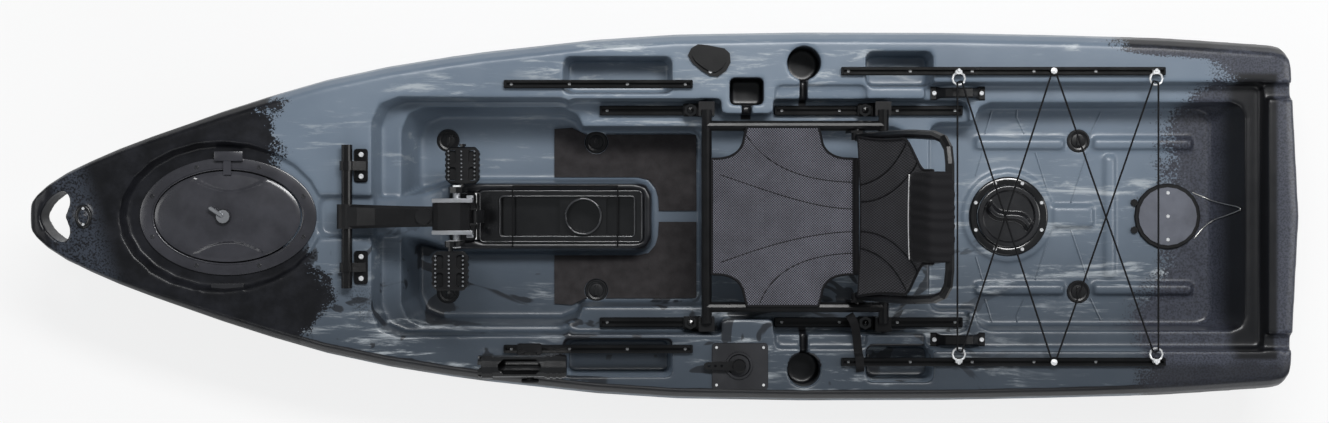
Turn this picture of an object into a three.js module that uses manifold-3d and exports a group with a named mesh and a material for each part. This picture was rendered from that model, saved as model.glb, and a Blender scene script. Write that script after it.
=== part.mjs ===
// A sit-on-top pedal kayak with its drive, seat, rudder and deck fittings.
// Millimetres. -X is the bow, +Y is starboard, +Z is up, and z 0 is the ground under the keel.
import * as THREE from 'three';
import { mergeVertices } from 'three/addons/utils/BufferGeometryUtils.js';
import Module from 'manifold-3d';

const wasm = await Module();
wasm.setup();

// Driving dimensions
const hullLength = 3050;
const deckZ = 300;
const floorZ = 90;
const shelfZ = 225;
const ledgeZ = 250;
const tankFloorZ = 150;
const wall = 3.6;
const gap = 0.3;
const over = 40;
const weld = 0.0005;

// Counts of facets
const cornerSteps = 2;
const innerSteps = 1;
const innerSides = 12;
const cordSides = 8;
const smallSides = 8;
const tubeSides = 12;
const roundSides = 20;
const screwSides = 6;
const ovalSides = 24;
const barSides = 16;
const lugSides = 14;
const ringScrews = 8;

// Share of a corner's radius at which one chord still clears the rounder outer corner
const chordShare = 0.58;

const finishes = {
  hull: [0x70818f, 0.5, 0],
  blackPlastic: [0x17181a, 0.45, 0],
  glossBlack: [0x0d0e10, 0.25, 0],
  blackMetal: [0x141517, 0.35, 0.6],
  silver: [0xb9bcbf, 0.3, 1],
  greyPlastic: [0x4a4e55, 0.5, 0],
  foam: [0x221f1d, 0.85, 0],
  mesh: [0x1d1f22, 0.8, 0],
  cord: [0x0b0b0c, 0.75, 0],
  paleCord: [0xd6d2c6, 0.6, 0],
};

const group = new THREE.Group();

function add(name, geometry, finishName) {
  const [color, roughness, metalness] = finishes[finishName];
  const material = new THREE.MeshStandardMaterial({ color, roughness, metalness, name: finishName });
  const mesh = new THREE.Mesh(geometry.clone().scale(hullLength / drawnLength, 1, 1), material);
  mesh.name = name;
  group.add(mesh);
}

// The signed volume of a closed indexed geometry
function volumeOf(geometry) {
  const place = geometry.attributes.position;
  const index = geometry.index;
  const [a, b, c] = [new THREE.Vector3(), new THREE.Vector3(), new THREE.Vector3()];
  let sum = 0;
  for (let i = 0; i < index.count; i += 3) {
    a.fromBufferAttribute(place, index.getX(i));
    b.fromBufferAttribute(place, index.getX(i + 1));
    c.fromBufferAttribute(place, index.getX(i + 2));
    sum += a.dot(b.cross(c));
  }
  return sum;
}

// Shared corners, no empty facets, and every facet facing out
function closed(geometry) {
  const bare = geometry.clone();
  bare.deleteAttribute('normal');
  bare.deleteAttribute('uv');
  const merged = mergeVertices(bare, weld);
  const faces = [];
  const old = merged.index.array;
  for (let i = 0; i < old.length; i += 3) {
    const [a, b, c] = [old[i], old[i + 1], old[i + 2]];
    if (a !== b && b !== c && c !== a) faces.push(a, b, c);
  }
  merged.setIndex(faces);
  if (volumeOf(merged) < 0) {
    merged.setIndex(faces.map((f, i) => faces[i + (i % 3 === 1 ? 1 : i % 3 === 2 ? -1 : 0)]));
  }
  return merged;
}

function toSolid(geometry) {
  const ready = closed(geometry);
  return new wasm.Manifold(new wasm.Mesh({
    numProp: 3,
    vertProperties: new Float32Array(ready.attributes.position.array),
    triVerts: new Uint32Array(ready.index.array),
  }));
}

function toGeometry(solid) {
  const mesh = solid.getMesh();
  const geometry = new THREE.BufferGeometry();
  geometry.setAttribute('position', new THREE.BufferAttribute(new Float32Array(mesh.vertProperties), 3));
  geometry.setIndex(new THREE.BufferAttribute(new Uint32Array(mesh.triVerts), 1));
  geometry.computeVertexNormals();
  return geometry;
}

function join(...geometries) {
  return toGeometry(geometries.map(toSolid).reduce((sum, next) => sum.add(next)));
}

function carve(base, ...cutters) {
  return toGeometry(cutters.map(toSolid).reduce((rest, next) => rest.subtract(next), toSolid(base)));
}

function common(first, second) {
  return toGeometry(toSolid(first).intersect(toSolid(second)));
}

function at(geometry, x, y, z) {
  return geometry.clone().translate(x, y, z);
}

function mirrored(geometry) {
  return closed(geometry.clone().scale(1, -1, 1));
}

// A closed body through equal rings of points, capped at both ends or joined into a loop
function loft(rings, looped = false) {
  const count = rings[0].length;
  const points = rings.flat();
  const faces = [];
  const spans = looped ? rings.length : rings.length - 1;
  for (let i = 0; i < spans; i += 1) {
    const here = i * count;
    const next = ((i + 1) % rings.length) * count;
    for (let j = 0; j < count; j += 1) {
      const k = (j + 1) % count;
      faces.push(here + j, here + k, next + k, here + j, next + k, next + j);
    }
  }
  if (!looped) {
    const lastStart = (rings.length - 1) * count;
    const firstTip = points.push(middleOf(rings[0])) - 1;
    const lastTip = points.push(middleOf(rings.at(-1))) - 1;
    for (let j = 0; j < count; j += 1) {
      const k = (j + 1) % count;
      faces.push(k, j, firstTip, lastStart + j, lastStart + k, lastTip);
    }
  }
  const geometry = new THREE.BufferGeometry().setFromPoints(points);
  geometry.setIndex(faces);
  return closed(geometry);
}

function middleOf(ring) {
  return ring.reduce((sum, p) => sum.add(p), new THREE.Vector3()).divideScalar(ring.length);
}

// A flat ring of points lifted to height z
function lifted(outline, z) {
  return outline.map(([x, y]) => new THREE.Vector3(x, y, z));
}

function prism(outline, z0, z1, holes = []) {
  const shape = new THREE.Shape(outline.map(([x, y]) => new THREE.Vector2(x, y)));
  for (const hole of holes) {
    shape.holes.push(new THREE.Path(hole.map(([x, y]) => new THREE.Vector2(x, y))));
  }
  const geometry = new THREE.ExtrudeGeometry(shape, { depth: z1 - z0, bevelEnabled: false });
  return closed(geometry.translate(0, 0, z0));
}

// An outline in X and Z, pushed from y0 to y1
function sidePrism(outline, y0, y1) {
  return closed(prism(outline, -y1, -y0).rotateX(Math.PI / 2));
}

// An outline in Y and Z, pushed from x0 to x1
function frontPrism(outline, x0, x1) {
  return closed(prism(outline, x0, x1).rotateX(Math.PI / 2).rotateZ(Math.PI / 2));
}

function oval(x, y, halfX, halfY, count = ovalSides) {
  return Array.from({ length: count }, (_, i) => {
    const angle = (i / count) * Math.PI * 2;
    return [x + halfX * Math.cos(angle), y + halfY * Math.sin(angle)];
  });
}

function rounded([x0, x1, y0, y1], radius, steps = cornerSteps) {
  const r = Math.min(radius, (x1 - x0) / 2.01, (y1 - y0) / 2.01);
  const corners = [[x1 - r, y1 - r], [x0 + r, y1 - r], [x0 + r, y0 + r], [x1 - r, y0 + r]];
  return corners.flatMap(([cx, cy], i) => Array.from({ length: steps + 1 }, (_, k) => {
    const angle = (i + k / steps) * Math.PI / 2;
    return [cx + r * Math.cos(angle), cy + r * Math.sin(angle)];
  }));
}

function grown([x0, x1, y0, y1], by) {
  return [x0 - by, x1 + by, y0 - by, y1 + by];
}

// A rounded block with its upper edge chamfered
function slab(rect, radius, z0, z1, chamfer, steps = cornerSteps) {
  const inner = Math.max(radius - chamfer, chamfer);
  return loft([
    lifted(rounded(rect, radius, steps), z0),
    lifted(rounded(rect, radius, steps), z1 - chamfer),
    lifted(rounded(grown(rect, -chamfer), inner, steps), z1),
  ]);
}

function lathe(profile, sides = roundSides) {
  const points = profile.map(([r, z]) => new THREE.Vector2(r, z));
  return closed(new THREE.LatheGeometry(points, sides).rotateX(Math.PI / 2));
}

function disc(x, y, radius, z0, z1, sides = roundSides) {
  return at(lathe([[0, z0], [radius, z0], [radius, z1], [0, z1]], sides), x, y, 0);
}

// The corner radius of a faceted ring whose flats lie at this radius
function around(radius, sides) {
  return radius / Math.cos(Math.PI / sides);
}

// A faceted bore wide enough for a faceted pin to turn in
function fit(radius, sides) {
  return around(radius + gap, sides);
}

function screw(x, y, z, radius, height) {
  return at(lathe([[0, z - gap], [radius, z - gap], [radius * 0.75, z + height], [0, z + height]],
    screwSides), x, y, 0);
}

// A ring of points round a centre, square to the way the path runs
function ringAt(centre, along, up, radius, sides) {
  const side = new THREE.Vector3().crossVectors(along, up).normalize();
  const top = new THREE.Vector3().crossVectors(side, along).normalize();
  return Array.from({ length: sides }, (_, i) => {
    const angle = (i / sides) * Math.PI * 2;
    return centre.clone().addScaledVector(side, radius * Math.cos(angle))
      .addScaledVector(top, radius * Math.sin(angle));
  });
}

function tube(path, radius, sides = tubeSides, up = new THREE.Vector3(0, 0, 1), looped = false) {
  const last = path.length - 1;
  const rings = path.map((point, i) => {
    const before = looped ? path[(i + last) % path.length] : path[Math.max(i - 1, 0)];
    const after = looped ? path[(i + 1) % path.length] : path[Math.min(i + 1, last)];
    const along = new THREE.Vector3().subVectors(after, before).normalize();
    return ringAt(point, along, up, radius, sides);
  });
  return loft(rings, looped);
}

function rod(from, to, radius, sides = tubeSides) {
  const along = new THREE.Vector3().subVectors(to, from).normalize();
  const up = Math.abs(along.z) > Math.abs(along.x) + Math.abs(along.y)
    ? new THREE.Vector3(1, 0, 0) : new THREE.Vector3(0, 0, 1);
  return loft([ringAt(from, along, up, radius, sides), ringAt(to, along, up, radius, sides)]);
}

function crossRod(x, z, y0, y1, radius, sides = tubeSides) {
  return rod(new THREE.Vector3(x, y0, z), new THREE.Vector3(x, y1, z), radius, sides);
}

function lengthRod(y, z, x0, x1, radius, sides = tubeSides) {
  return rod(new THREE.Vector3(x0, y, z), new THREE.Vector3(x1, y, z), radius, sides);
}

// A path whose inner corners are eased into bends
function eased(corners, reach, steps = 4) {
  const points = corners.map((c) => new THREE.Vector3(...c));
  const path = [points[0]];
  for (let i = 1; i < points.length - 1; i += 1) {
    const back = new THREE.Vector3().subVectors(points[i - 1], points[i]).normalize();
    const on = new THREE.Vector3().subVectors(points[i + 1], points[i]).normalize();
    const start = points[i].clone().addScaledVector(back, reach);
    const end = points[i].clone().addScaledVector(on, reach);
    const bend = new THREE.QuadraticBezierCurve3(start, points[i], end);
    path.push(...bend.getPoints(steps));
  }
  path.push(points.at(-1));
  return path;
}

// Hull stations: distance from the bow, half beam, keel height, deck height, bow of the stern
const stations = [
  [0, 14, 282, 318, 0],
  [8, 37, 276, 338, 0],
  [22, 54, 271, 346, 0],
  [46, 76, 260, 350, 0],
  [90, 106, 226, 350, 0],
  [150, 137, 158, 349, 0],
  [215, 167, 90, 347, 0],
  [290, 197, 34, 345, 0],
  [450, 256, 0, 339, 0],
  [570, 295, 0, 333, 0],
  [700, 333, 0, 326, 0],
  [850, 366, 0, 316, 0],
  [1000, 391, 0, 305, 0],
  [1085, 403, 0, 300, 0],
  [1350, 432, 0, 300, 0],
  [1550, 445, 0, 300, 0],
  [1850, 450, 0, 300, 0],
  [2200, 449, 0, 300, 0],
  [2450, 444, 0, 300, 0],
  [2560, 441, 0, 300, 0],
  [2640, 438, 44, 300, 0],
  [2715, 435, 84, 300, 0],
  [2800, 430, 93, 300, 0],
  [2900, 423, 97, 300, 6],
  [2985, 417, 100, 300, 16],
  [3010, 412, 104, 298, 20],
  [3022, 402, 112, 294, 21],
  [3028, 384, 128, 284, 22],
];
// The length that the stations are drawn for; another hull length stretches the whole kayak
const drawnLength = stations.at(-1)[0] + stations.at(-1)[4];
const innerStations = [
  150, 290, 450, 570, 700, 850, 1000, 1085, 1350, 1850, 2200, 2450, 2560, 2640, 2715, 2900, 3010,
];
const bevel = { width: 31, share: 0.115, drop: 9 };
const keelTunnel = { depth: 16, frontStart: -1150, frontEnd: -800, rearStart: 900, rearEnd: 1030 };

// Half sections run from the keel to the middle of the deck, as shares of the half beam and the height
const bottomShares = [[0.15, 0], [0.24, 1], [0.36, 1], [0.45, 0]];
const sideShares = [[0.66, 0.02], [0.86, 0.15], [0.96, 0.4], [1, 0.74]];

function section([offset, beam, keel, deck, sternBow], inset) {
  const x = offset - drawnLength / 2;
  const half = beam - inset;
  const low = keel + inset;
  const high = deck - inset;
  const height = high - low;
  const edge = Math.min(bevel.width, beam * bevel.share);
  const tunnel = keelTunnel.depth
    * THREE.MathUtils.smoothstep(x, keelTunnel.frontStart, keelTunnel.frontEnd)
    * (1 - THREE.MathUtils.smoothstep(x, keelTunnel.rearStart, keelTunnel.rearEnd));
  const points = [
    [0, low],
    ...bottomShares.map(([out, lift]) => [half * out, low + tunnel * lift]),
    ...sideShares.map(([out, up]) => [half * out, low + height * up]),
    [half - edge * 0.3, high - bevel.drop - edge * 0.5],
    [half - edge * 0.75, high - bevel.drop * 0.5],
    [half - edge, high],
    [0, high],
  ];
  const mirror = points.slice(1, -1).reverse().map(([y, z]) => [-y, z]);
  return [...points, ...mirror].map(([y, z]) => (
    new THREE.Vector3(x + sternBow * (1 - (y / half) ** 2), y, z)
  ));
}

function deckAt(x) {
  const offset = x + drawnLength / 2;
  const i = Math.max(stations.findIndex((row) => row[0] > offset), 1);
  const [near, far] = [stations[i - 1], stations[i]];
  return THREE.MathUtils.lerp(near[3], far[3], (offset - near[0]) / (far[0] - near[0]));
}

// The corner radius of a hollow's outline, or of the coarser outline of its inner skin
function skinRadius(radius, grow) {
  return grow ? chordShare * (radius + grow) : radius;
}

// A hollow moulded into the deck: its rim, the slope of its ends and sides, and its floor
function basin(spec, topZ, grow = 0) {
  const { rim, radius, floor, front = 0, aft = 0, side = 0, fillet = 0 } = spec;
  const [x0, x1, y0, y1] = rim;
  const low = [x0 + front, x1 - aft, y0 + side, y1 - side];
  const steps = grow ? innerSteps : cornerSteps;
  const corner = skinRadius(radius, grow);
  const rings = [
    lifted(rounded(grown(rim, grow), corner, steps), topZ + over),
    lifted(rounded(grown(rim, grow), corner, steps), topZ),
  ];
  if (fillet && !grow) {
    rings.push(lifted(rounded(low, radius, steps), floor + fillet));
    rings.push(lifted(rounded(grown(low, -fillet), Math.max(radius - fillet, fillet), steps), floor));
  } else {
    rings.push(lifted(rounded(grown(low, grow), corner, steps), floor - grow));
  }
  return loft(rings);
}

const footwellUpper = {
  rim: [-709, -190, -288, 288], radius: 62, floor: 236, front: 14, aft: 4, side: 8,
};
const footwellLower = {
  rim: [-664, -198, -274, 274], radius: 56, floor: floorZ, front: 44, aft: 8, side: 20, fillet: 8,
};
const railShelf = {
  rim: [-250, 738, -284, 284], radius: 24, floor: shelfZ, front: 4, aft: 4, side: 3,
};
const footwellAft = {
  rim: [-300, 96, -224, 224], radius: 26, floor: floorZ, front: 0, aft: 14, side: 10,
};
const seatFloor = {
  rim: [30, 596, -224, 224], radius: 34, floor: tankFloorZ, front: 0, aft: 18, side: 8, fillet: 6,
};
const tankLedge = {
  rim: [620, 1448, -323, 323], radius: 14, floor: ledgeZ, front: 4, aft: 8, side: 4,
};
const tankFront = {
  rim: [634, 820, -234, 234], radius: 24, floor: tankFloorZ, front: 14, aft: 0, side: 8,
};
const tankMain = {
  rim: [746, 1440, -281, 281], radius: 34, floor: tankFloorZ, front: 12, aft: 92, side: 11, fillet: 6,
};
const sidePocket = {
  rim: [-250, 13, 296, 386], radius: 14, floor: 212, front: 10, aft: 10, side: 7,
};
const rearPocket = {
  rim: [478, 641, 312, 398], radius: 14, floor: 212, front: 8, aft: 8, side: 7,
};
const squarePocket = { rim: [151, 233, 268, 335], radius: 9, floor: 214, front: 3, aft: 3, side: 3 };
const pocketSlot = { rim: [180, 204, 236, 290], radius: 3, floor: 262 };
const gunwaleRecess = {
  rim: [258, 483, 270, 318], radius: 14, floor: 286, front: 6, aft: 6, side: 4,
};
const cupHole = { x: 330, y: 370, radius: 41, floor: 196 };
const cupSlot = { rim: [321, 339, 268, 352], radius: 3, floor: 248 };
const transomChannel = { rim: [1404, 1580, 284, 322], radius: 8, floor: 276 };
const bowChannel = { rim: [-850, -680, -53, 53], radius: 20, floor: 298, front: 20, side: 8 };

// The tray's well runs right through the hull, and the leg's trunk runs into it
const well = { x0: -471, x1: -54, halfY: 68.5, radius: 12, rebateZ: 149 };
const wellThroat = { x0: -536, x1: -64, halfY: 59, radius: 10 };
const legBay = { x0: -552, x1: -300, halfY: 36, topZ: 92, radius: 8 };
const propeller = {
  x: -230, z: 21, radius: 110, hub: 17, height: 20, shaft: 6, shaftTop: 53, nose: 10, noseRise: 6, brim: 1, sink: 2,
};
const propBay = { radius: 121, topZ: 44 };
const rudder = { x: 1240, shaftRadius: 12 };

const hatchRecess = { x: -1060, halfX: 245, halfY: 180, slope: 10, floor: 312 };
// Room round the hatch's ring, the ring's width, and the steps from the ring's mouth to what lies in it
const hatchFit = {
  shift: 8, roomX: 23, roomY: 29, bandX: 40, bandY: 35, ledge: 2, lap: 10, slack: 5, rivetIn: 14, rib: 32,
  hinge: 6,
};
const hatchRim = {
  x: hatchRecess.halfX - hatchRecess.slope - hatchFit.roomX,
  y: hatchRecess.halfY - hatchRecess.slope - hatchFit.roomY,
};
const hatchMouth = { x: hatchRim.x - hatchFit.bandX, y: hatchRim.y - hatchFit.bandY };
const hatchHole = {
  x: hatchRecess.x + hatchFit.shift,
  halfX: hatchMouth.x - hatchFit.ledge,
  halfY: hatchMouth.y - hatchFit.ledge,
};
const roundHatch = { x: 845, bossRadius: 112, bossZ: 158, holeRadius: 69 };
const flushHolder = { x: 100, y: 378, holeRadius: 25, lean: 0.32, depth: 190 };

const scuppers = [
  [-177, 186, floorZ], [-177, -186, floorZ], [-549, 190, floorZ], [-549, -190, floorZ],
  [1020, 187, tankFloorZ], [1020, -187, tankFloorZ],
];
const scupper = { radius: 27, depth: 9, plugRadius: 25, plugTop: -3, barHalf: 4, barTop: 2 };

function grabHole() {
  const outline = [
    [-1494, 0], [-1489, 16], [-1478, 34], [-1463, 50], [-1447, 60], [-1433, 60], [-1424, 48],
    [-1422, 32], [-1427, 16], [-1434, 0], [-1427, -16], [-1422, -32], [-1424, -48], [-1433, -60],
    [-1447, -60], [-1463, -50], [-1478, -34], [-1489, -16],
  ];
  return prism(outline, -over, deckZ * 2);
}

function ovalBasin(grow) {
  const { x, halfX, halfY, slope, floor } = hatchRecess;
  const top = deckAt(x - halfX) + over;
  const sides = grow ? innerSides : ovalSides;
  const size = (half) => (grow ? around(half + grow, sides) : half);
  return loft([
    lifted(oval(x, 0, size(halfX), size(halfY), sides), top),
    lifted(oval(x, 0, size(halfX), size(halfY), sides), deckAt(x)),
    lifted(oval(x, 0, size(halfX - slope), size(halfY - slope), sides), floor - grow),
  ]);
}

// Everything pressed into the deck on the middle line, thicker by the wall for the inner skin
function deckBasins(grow) {
  const specs = [
    footwellUpper, footwellLower, railShelf, footwellAft, seatFloor, tankLedge, tankFront, tankMain,
    bowChannel,
  ];
  return [...specs.map((spec) => basin(spec, deckAt(spec.rim[0]), grow)), ovalBasin(grow)];
}

// A round hollow, or the coarser round of its inner skin
function skinDisc(x, y, radius, z0, z1, grow) {
  const size = grow ? around(radius + grow, innerSides) : radius;
  return disc(x, y, size, z0, z1, grow ? innerSides : roundSides);
}

// Hollows that both sides share
function pairedBasins(grow) {
  const specs = [sidePocket, rearPocket, gunwaleRecess, cupSlot, transomChannel];
  const one = specs.map((spec) => basin(spec, deckZ, grow));
  one.push(skinDisc(cupHole.x, cupHole.y, cupHole.radius, cupHole.floor - grow, deckZ + over, grow));
  return one.flatMap((geometry) => [geometry, mirrored(geometry)]);
}

function starboardBasins(grow) {
  return [basin(squarePocket, deckZ, grow), basin(pocketSlot, deckZ, grow)];
}

// Holes that run down to the water
function bottomHollows(grow) {
  const wide = [well.x0, well.x1, -well.halfY, well.halfY];
  const throat = [wellThroat.x0, wellThroat.x1, -wellThroat.halfY, wellThroat.halfY];
  const bay = [legBay.x0, legBay.x1, -legBay.halfY, legBay.halfY];
  const steps = grow ? innerSteps : cornerSteps;
  return [
    prism(rounded(grown(wide, grow), skinRadius(well.radius, grow), steps), well.rebateZ - grow, deckZ),
    prism(rounded(grown(throat, grow), skinRadius(wellThroat.radius, grow), steps), -over, deckZ),
    prism(rounded(grown(bay, grow), skinRadius(legBay.radius, grow), innerSteps), -over, legBay.topZ + grow),
    skinDisc(propeller.x, 0, propBay.radius, -over, propBay.topZ + grow, grow),
    disc(rudder.x, 0, fit(rudder.shaftRadius, innerSides) + grow, -over, deckZ, innerSides),
  ];
}

function scupperHollows(grow) {
  return scuppers.map(([x, y, z]) => (
    disc(x, y, scupper.radius + grow, z - scupper.depth - grow, z + over, grow ? cordSides : smallSides)
  ));
}

// The plugs in the drain holes stay in the hull and are fused with it
function scupperPlugs() {
  return scuppers.flatMap(([x, y, z]) => {
    const bar = [x - scupper.plugRadius / 2, x + scupper.plugRadius / 2,
      y - scupper.barHalf, y + scupper.barHalf];
    return [
      disc(x, y, scupper.plugRadius, z - scupper.depth - gap, z + scupper.plugTop, smallSides),
      prism(rounded(bar, scupper.barHalf, innerSteps), z - scupper.depth, z + scupper.barTop),
    ];
  });
}

const island = { baseZ: floorZ - wall, topZ: 155, ease: 6 };
// Distance along X, half width of the foot, half width of the top and height of the top
const islandRings = [
  [-716, 60, 42, 292], [-660, 64, 46, 250], [-600, 74, 56, 190], [-556, 88, 74, island.topZ],
  [-520, 94, 84, island.topZ], [-80, 94, 84, island.topZ], [-52, 86, 74, island.topZ],
  [-38, 66, 50, island.topZ],
];

function wellIsland() {
  return loft(islandRings.map(([x, foot, top, z]) => [
    [-foot, island.baseZ], [foot, island.baseZ], [top, z - island.ease], [top - island.ease, z],
    [island.ease - top, z], [-top, z - island.ease],
  ].map(([y, height]) => new THREE.Vector3(x, y, height))));
}

const gunwaleBlock = { rect: [130, 256, 248, 300], radius: 10, z0: 200 };
const tankRib = { y0: 166, y1: 194, height: 14, radius: 6, chamfer: 5 };
const tankRibRuns = [[764, 984], [1056, 1300]];
const tankBlocks = [[954, 1056, -27, 26], [674, 702, -40, 40]];
const tankStep = { rect: [1084, 1110, -150, 150], height: 10 };

// Ribs and steps that stiffen the cargo floor
function tankRibs() {
  const high = tankFloorZ + tankRib.height;
  const ribs = tankRibRuns.map(([x0, x1]) => (
    slab([x0, x1, tankRib.y0, tankRib.y1], tankRib.radius, tankFloorZ - wall, high, tankRib.chamfer)
  ));
  const blocks = tankBlocks.map((rect) => (
    slab(rect, tankRib.radius, tankFloorZ - wall, high, tankRib.chamfer)
  ));
  const step = slab(tankStep.rect, tankRib.radius, tankFloorZ - wall, tankFloorZ + tankStep.height,
    tankRib.chamfer);
  return [...ribs, ...ribs.map(mirrored), ...blocks, step];
}

const bowEye = { x: -1388, halfX: 19, halfY: 28, height: 5, ringRadius: 9, ringHeight: 12, screwY: 20 };

// The little oval fitting behind the grab hole is screwed down for good
function bowFitting() {
  const z = deckAt(bowEye.x + bowEye.halfX);
  return [
    prism(oval(bowEye.x, 0, bowEye.halfX, bowEye.halfY, tubeSides), z - wall, z + bowEye.height),
    disc(bowEye.x, 0, bowEye.ringRadius, z, z + bowEye.ringHeight, smallSides),
    screw(bowEye.x, bowEye.screwY, z + bowEye.height, scupper.barHalf, 2 * scupper.barTop),
    screw(bowEye.x, -bowEye.screwY, z + bowEye.height, scupper.barHalf, 2 * scupper.barTop),
  ];
}

function flushHole(radius, startZ, endZ) {
  const run = (z) => new THREE.Vector3(
    flushHolder.x + (deckZ - z) * flushHolder.lean, flushHolder.y, z,
  );
  return rod(run(startZ), run(endZ), radius, tubeSides);
}

function buildHull() {
  const outer = loft(stations.map((row) => section(row, 0)));
  const inner = loft(innerStations.map((offset) => (
    section(stations.find((row) => row[0] === offset), wall)
  )));
  let body = toSolid(outer);
  const openCuts = [
    ...deckBasins(0), ...pairedBasins(0), ...starboardBasins(0), grabHole(),
  ];
  for (const cut of openCuts) body = body.subtract(toSolid(cut));
  const block = prism(rounded(gunwaleBlock.rect, gunwaleBlock.radius), gunwaleBlock.z0, deckZ);
  const boss = lathe([[0, tankFloorZ - wall], [roundHatch.bossRadius + wall, tankFloorZ - wall],
    [roundHatch.bossRadius, roundHatch.bossZ], [0, roundHatch.bossZ]]);
  const raised = [
    wellIsland(), block, mirrored(block), at(boss, roundHatch.x, 0, 0), ...tankRibs(),
  ];
  for (const piece of raised) body = body.add(toSolid(piece));
  const lateCuts = [
    ...starboardBasins(0), ...bottomHollows(0), ...scupperHollows(0),
    prism(oval(hatchHole.x, 0, hatchHole.halfX, hatchHole.halfY), floorZ, deckZ * 2),
    disc(roundHatch.x, 0, roundHatch.holeRadius, floorZ, deckZ),
    flushHole(flushHolder.holeRadius, deckZ + over, deckZ - flushHolder.depth / 3),
  ];
  for (const cut of lateCuts) body = body.subtract(toSolid(cut));
  for (const piece of [...scupperPlugs(), ...bowFitting()]) body = body.add(toSolid(piece));

  let cavity = toSolid(inner);
  const skins = [
    ...deckBasins(wall), ...pairedBasins(wall), ...starboardBasins(wall), ...bottomHollows(wall),
    ...scupperHollows(wall), wellIsland(),
  ];
  for (const skin of skins) cavity = cavity.subtract(toSolid(skin));
  const rooms = cavity.decompose().sort((a, b) => b.volume() - a.volume());
  body = body.subtract(rooms[0]);
  const pieces = body.decompose().sort((a, b) => b.volume() - a.volume());
  return toGeometry(pieces[0]);
}

// The bow hatch: a screwed ring, a hinged domed lid and a twist latch
const bowHatch = {
  x: hatchHole.x, ringX: hatchRim.x, ringY: hatchRim.y, holeX: hatchMouth.x, holeY: hatchMouth.y, ringZ: 318,
  lidX: hatchMouth.x + hatchFit.lap, lidY: hatchMouth.y + hatchFit.lap, lidEdge: 324, lidSkin: 2,
  plugX: hatchMouth.x - hatchFit.slack, plugY: hatchMouth.y - hatchFit.slack, plugZ: 304,
  hingeY: hatchRim.y + hatchFit.hinge, hingeZ: 327, knuckle: 6, pin: 2.5, knuckleHalf: 18,
  earFrom: 20, earTo: 33, earRound: 1, baseRound: 2, pinIn: 1, armIn: 14, armHalf: 4,
  rivetX: hatchRim.x - hatchFit.rivetIn, rivetY: hatchRim.y - hatchFit.rivetIn, rivet: 4, rivetHeight: 2.5,
  bossShift: 7, bossRadius: 24, bossTop: 338,
};

function hatchRing() {
  const { x, ringX, ringY, holeX, holeY, ringZ } = bowHatch;
  const low = hatchRecess.floor + gap;
  const ring = prism(oval(x, 0, ringX, ringY), low, ringZ, [oval(x, 0, holeX, holeY)]);
  const rivets = Array.from({ length: ringScrews }, (_, i) => {
    const angle = ((i + 0.5) / ringScrews) * Math.PI * 2;
    return screw(x + bowHatch.rivetX * Math.cos(angle), bowHatch.rivetY * Math.sin(angle), ringZ,
      bowHatch.rivet, bowHatch.rivetHeight);
  });
  const ears = [-1, 1].map((way) => {
    const from = x + way * bowHatch.earFrom;
    const to = x + way * bowHatch.earTo;
    const [x0, x1] = [Math.min(from, to), Math.max(from, to)];
    const foot = prism(rounded([x0, x1, bowHatch.hingeY - bowHatch.knuckle,
      bowHatch.hingeY + bowHatch.knuckle], bowHatch.earRound), low, bowHatch.hingeZ);
    return join(foot, lengthRod(bowHatch.hingeY, bowHatch.hingeZ, x0, x1, bowHatch.knuckle, tubeSides));
  });
  const base = prism(rounded([x - bowHatch.earTo, x + bowHatch.earTo, bowHatch.hingeY - 2 * bowHatch.knuckle,
    bowHatch.hingeY + bowHatch.knuckle], bowHatch.baseRound), low, hatchRecess.floor + bowHatch.rivet);
  const pinHalf = bowHatch.earFrom + bowHatch.pinIn;
  const pin = lengthRod(bowHatch.hingeY, bowHatch.hingeZ, x - pinHalf, x + pinHalf, bowHatch.pin, smallSides);
  return join(ring, base, ...ears, pin, ...rivets);
}

const hatchRib = {
  halfX: bowHatch.lidX - hatchFit.rib, bulge: 62, middle: 30, thick: 7, z0: 322, z1: 334.5, steps: 6, raise: 2.5,
};

// A raised bow-shaped rib on the lid
function lidRib() {
  const outline = [];
  for (let i = 0; i <= hatchRib.steps; i += 1) {
    const share = (2 * i) / hatchRib.steps - 1;
    outline.push([bowHatch.x + hatchRib.halfX * share,
      hatchRib.middle + hatchRib.bulge * (1 - share * share)]);
  }
  for (let i = hatchRib.steps; i >= 0; i -= 1) {
    const share = (2 * i) / hatchRib.steps - 1;
    const inner = hatchRib.bulge - hatchRib.thick;
    outline.push([bowHatch.x + (hatchRib.halfX - hatchRib.thick) * share,
      hatchRib.middle - hatchRib.thick / 2 + inner * (1 - share * share)]);
  }
  return outline;
}

// Share of the lid's size and height of each ring of its dome
const domeRings = [[1, 318.3], [1, 324], [0.95, 327.5], [0.7, 330.5], [0.3, 333]];

function lidDome(raise = 0) {
  return loft(domeRings.map(([share, z]) => (
    lifted(oval(bowHatch.x, 0, bowHatch.lidX * share, bowHatch.lidY * share, roundSides), z + raise)
  )));
}

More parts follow.
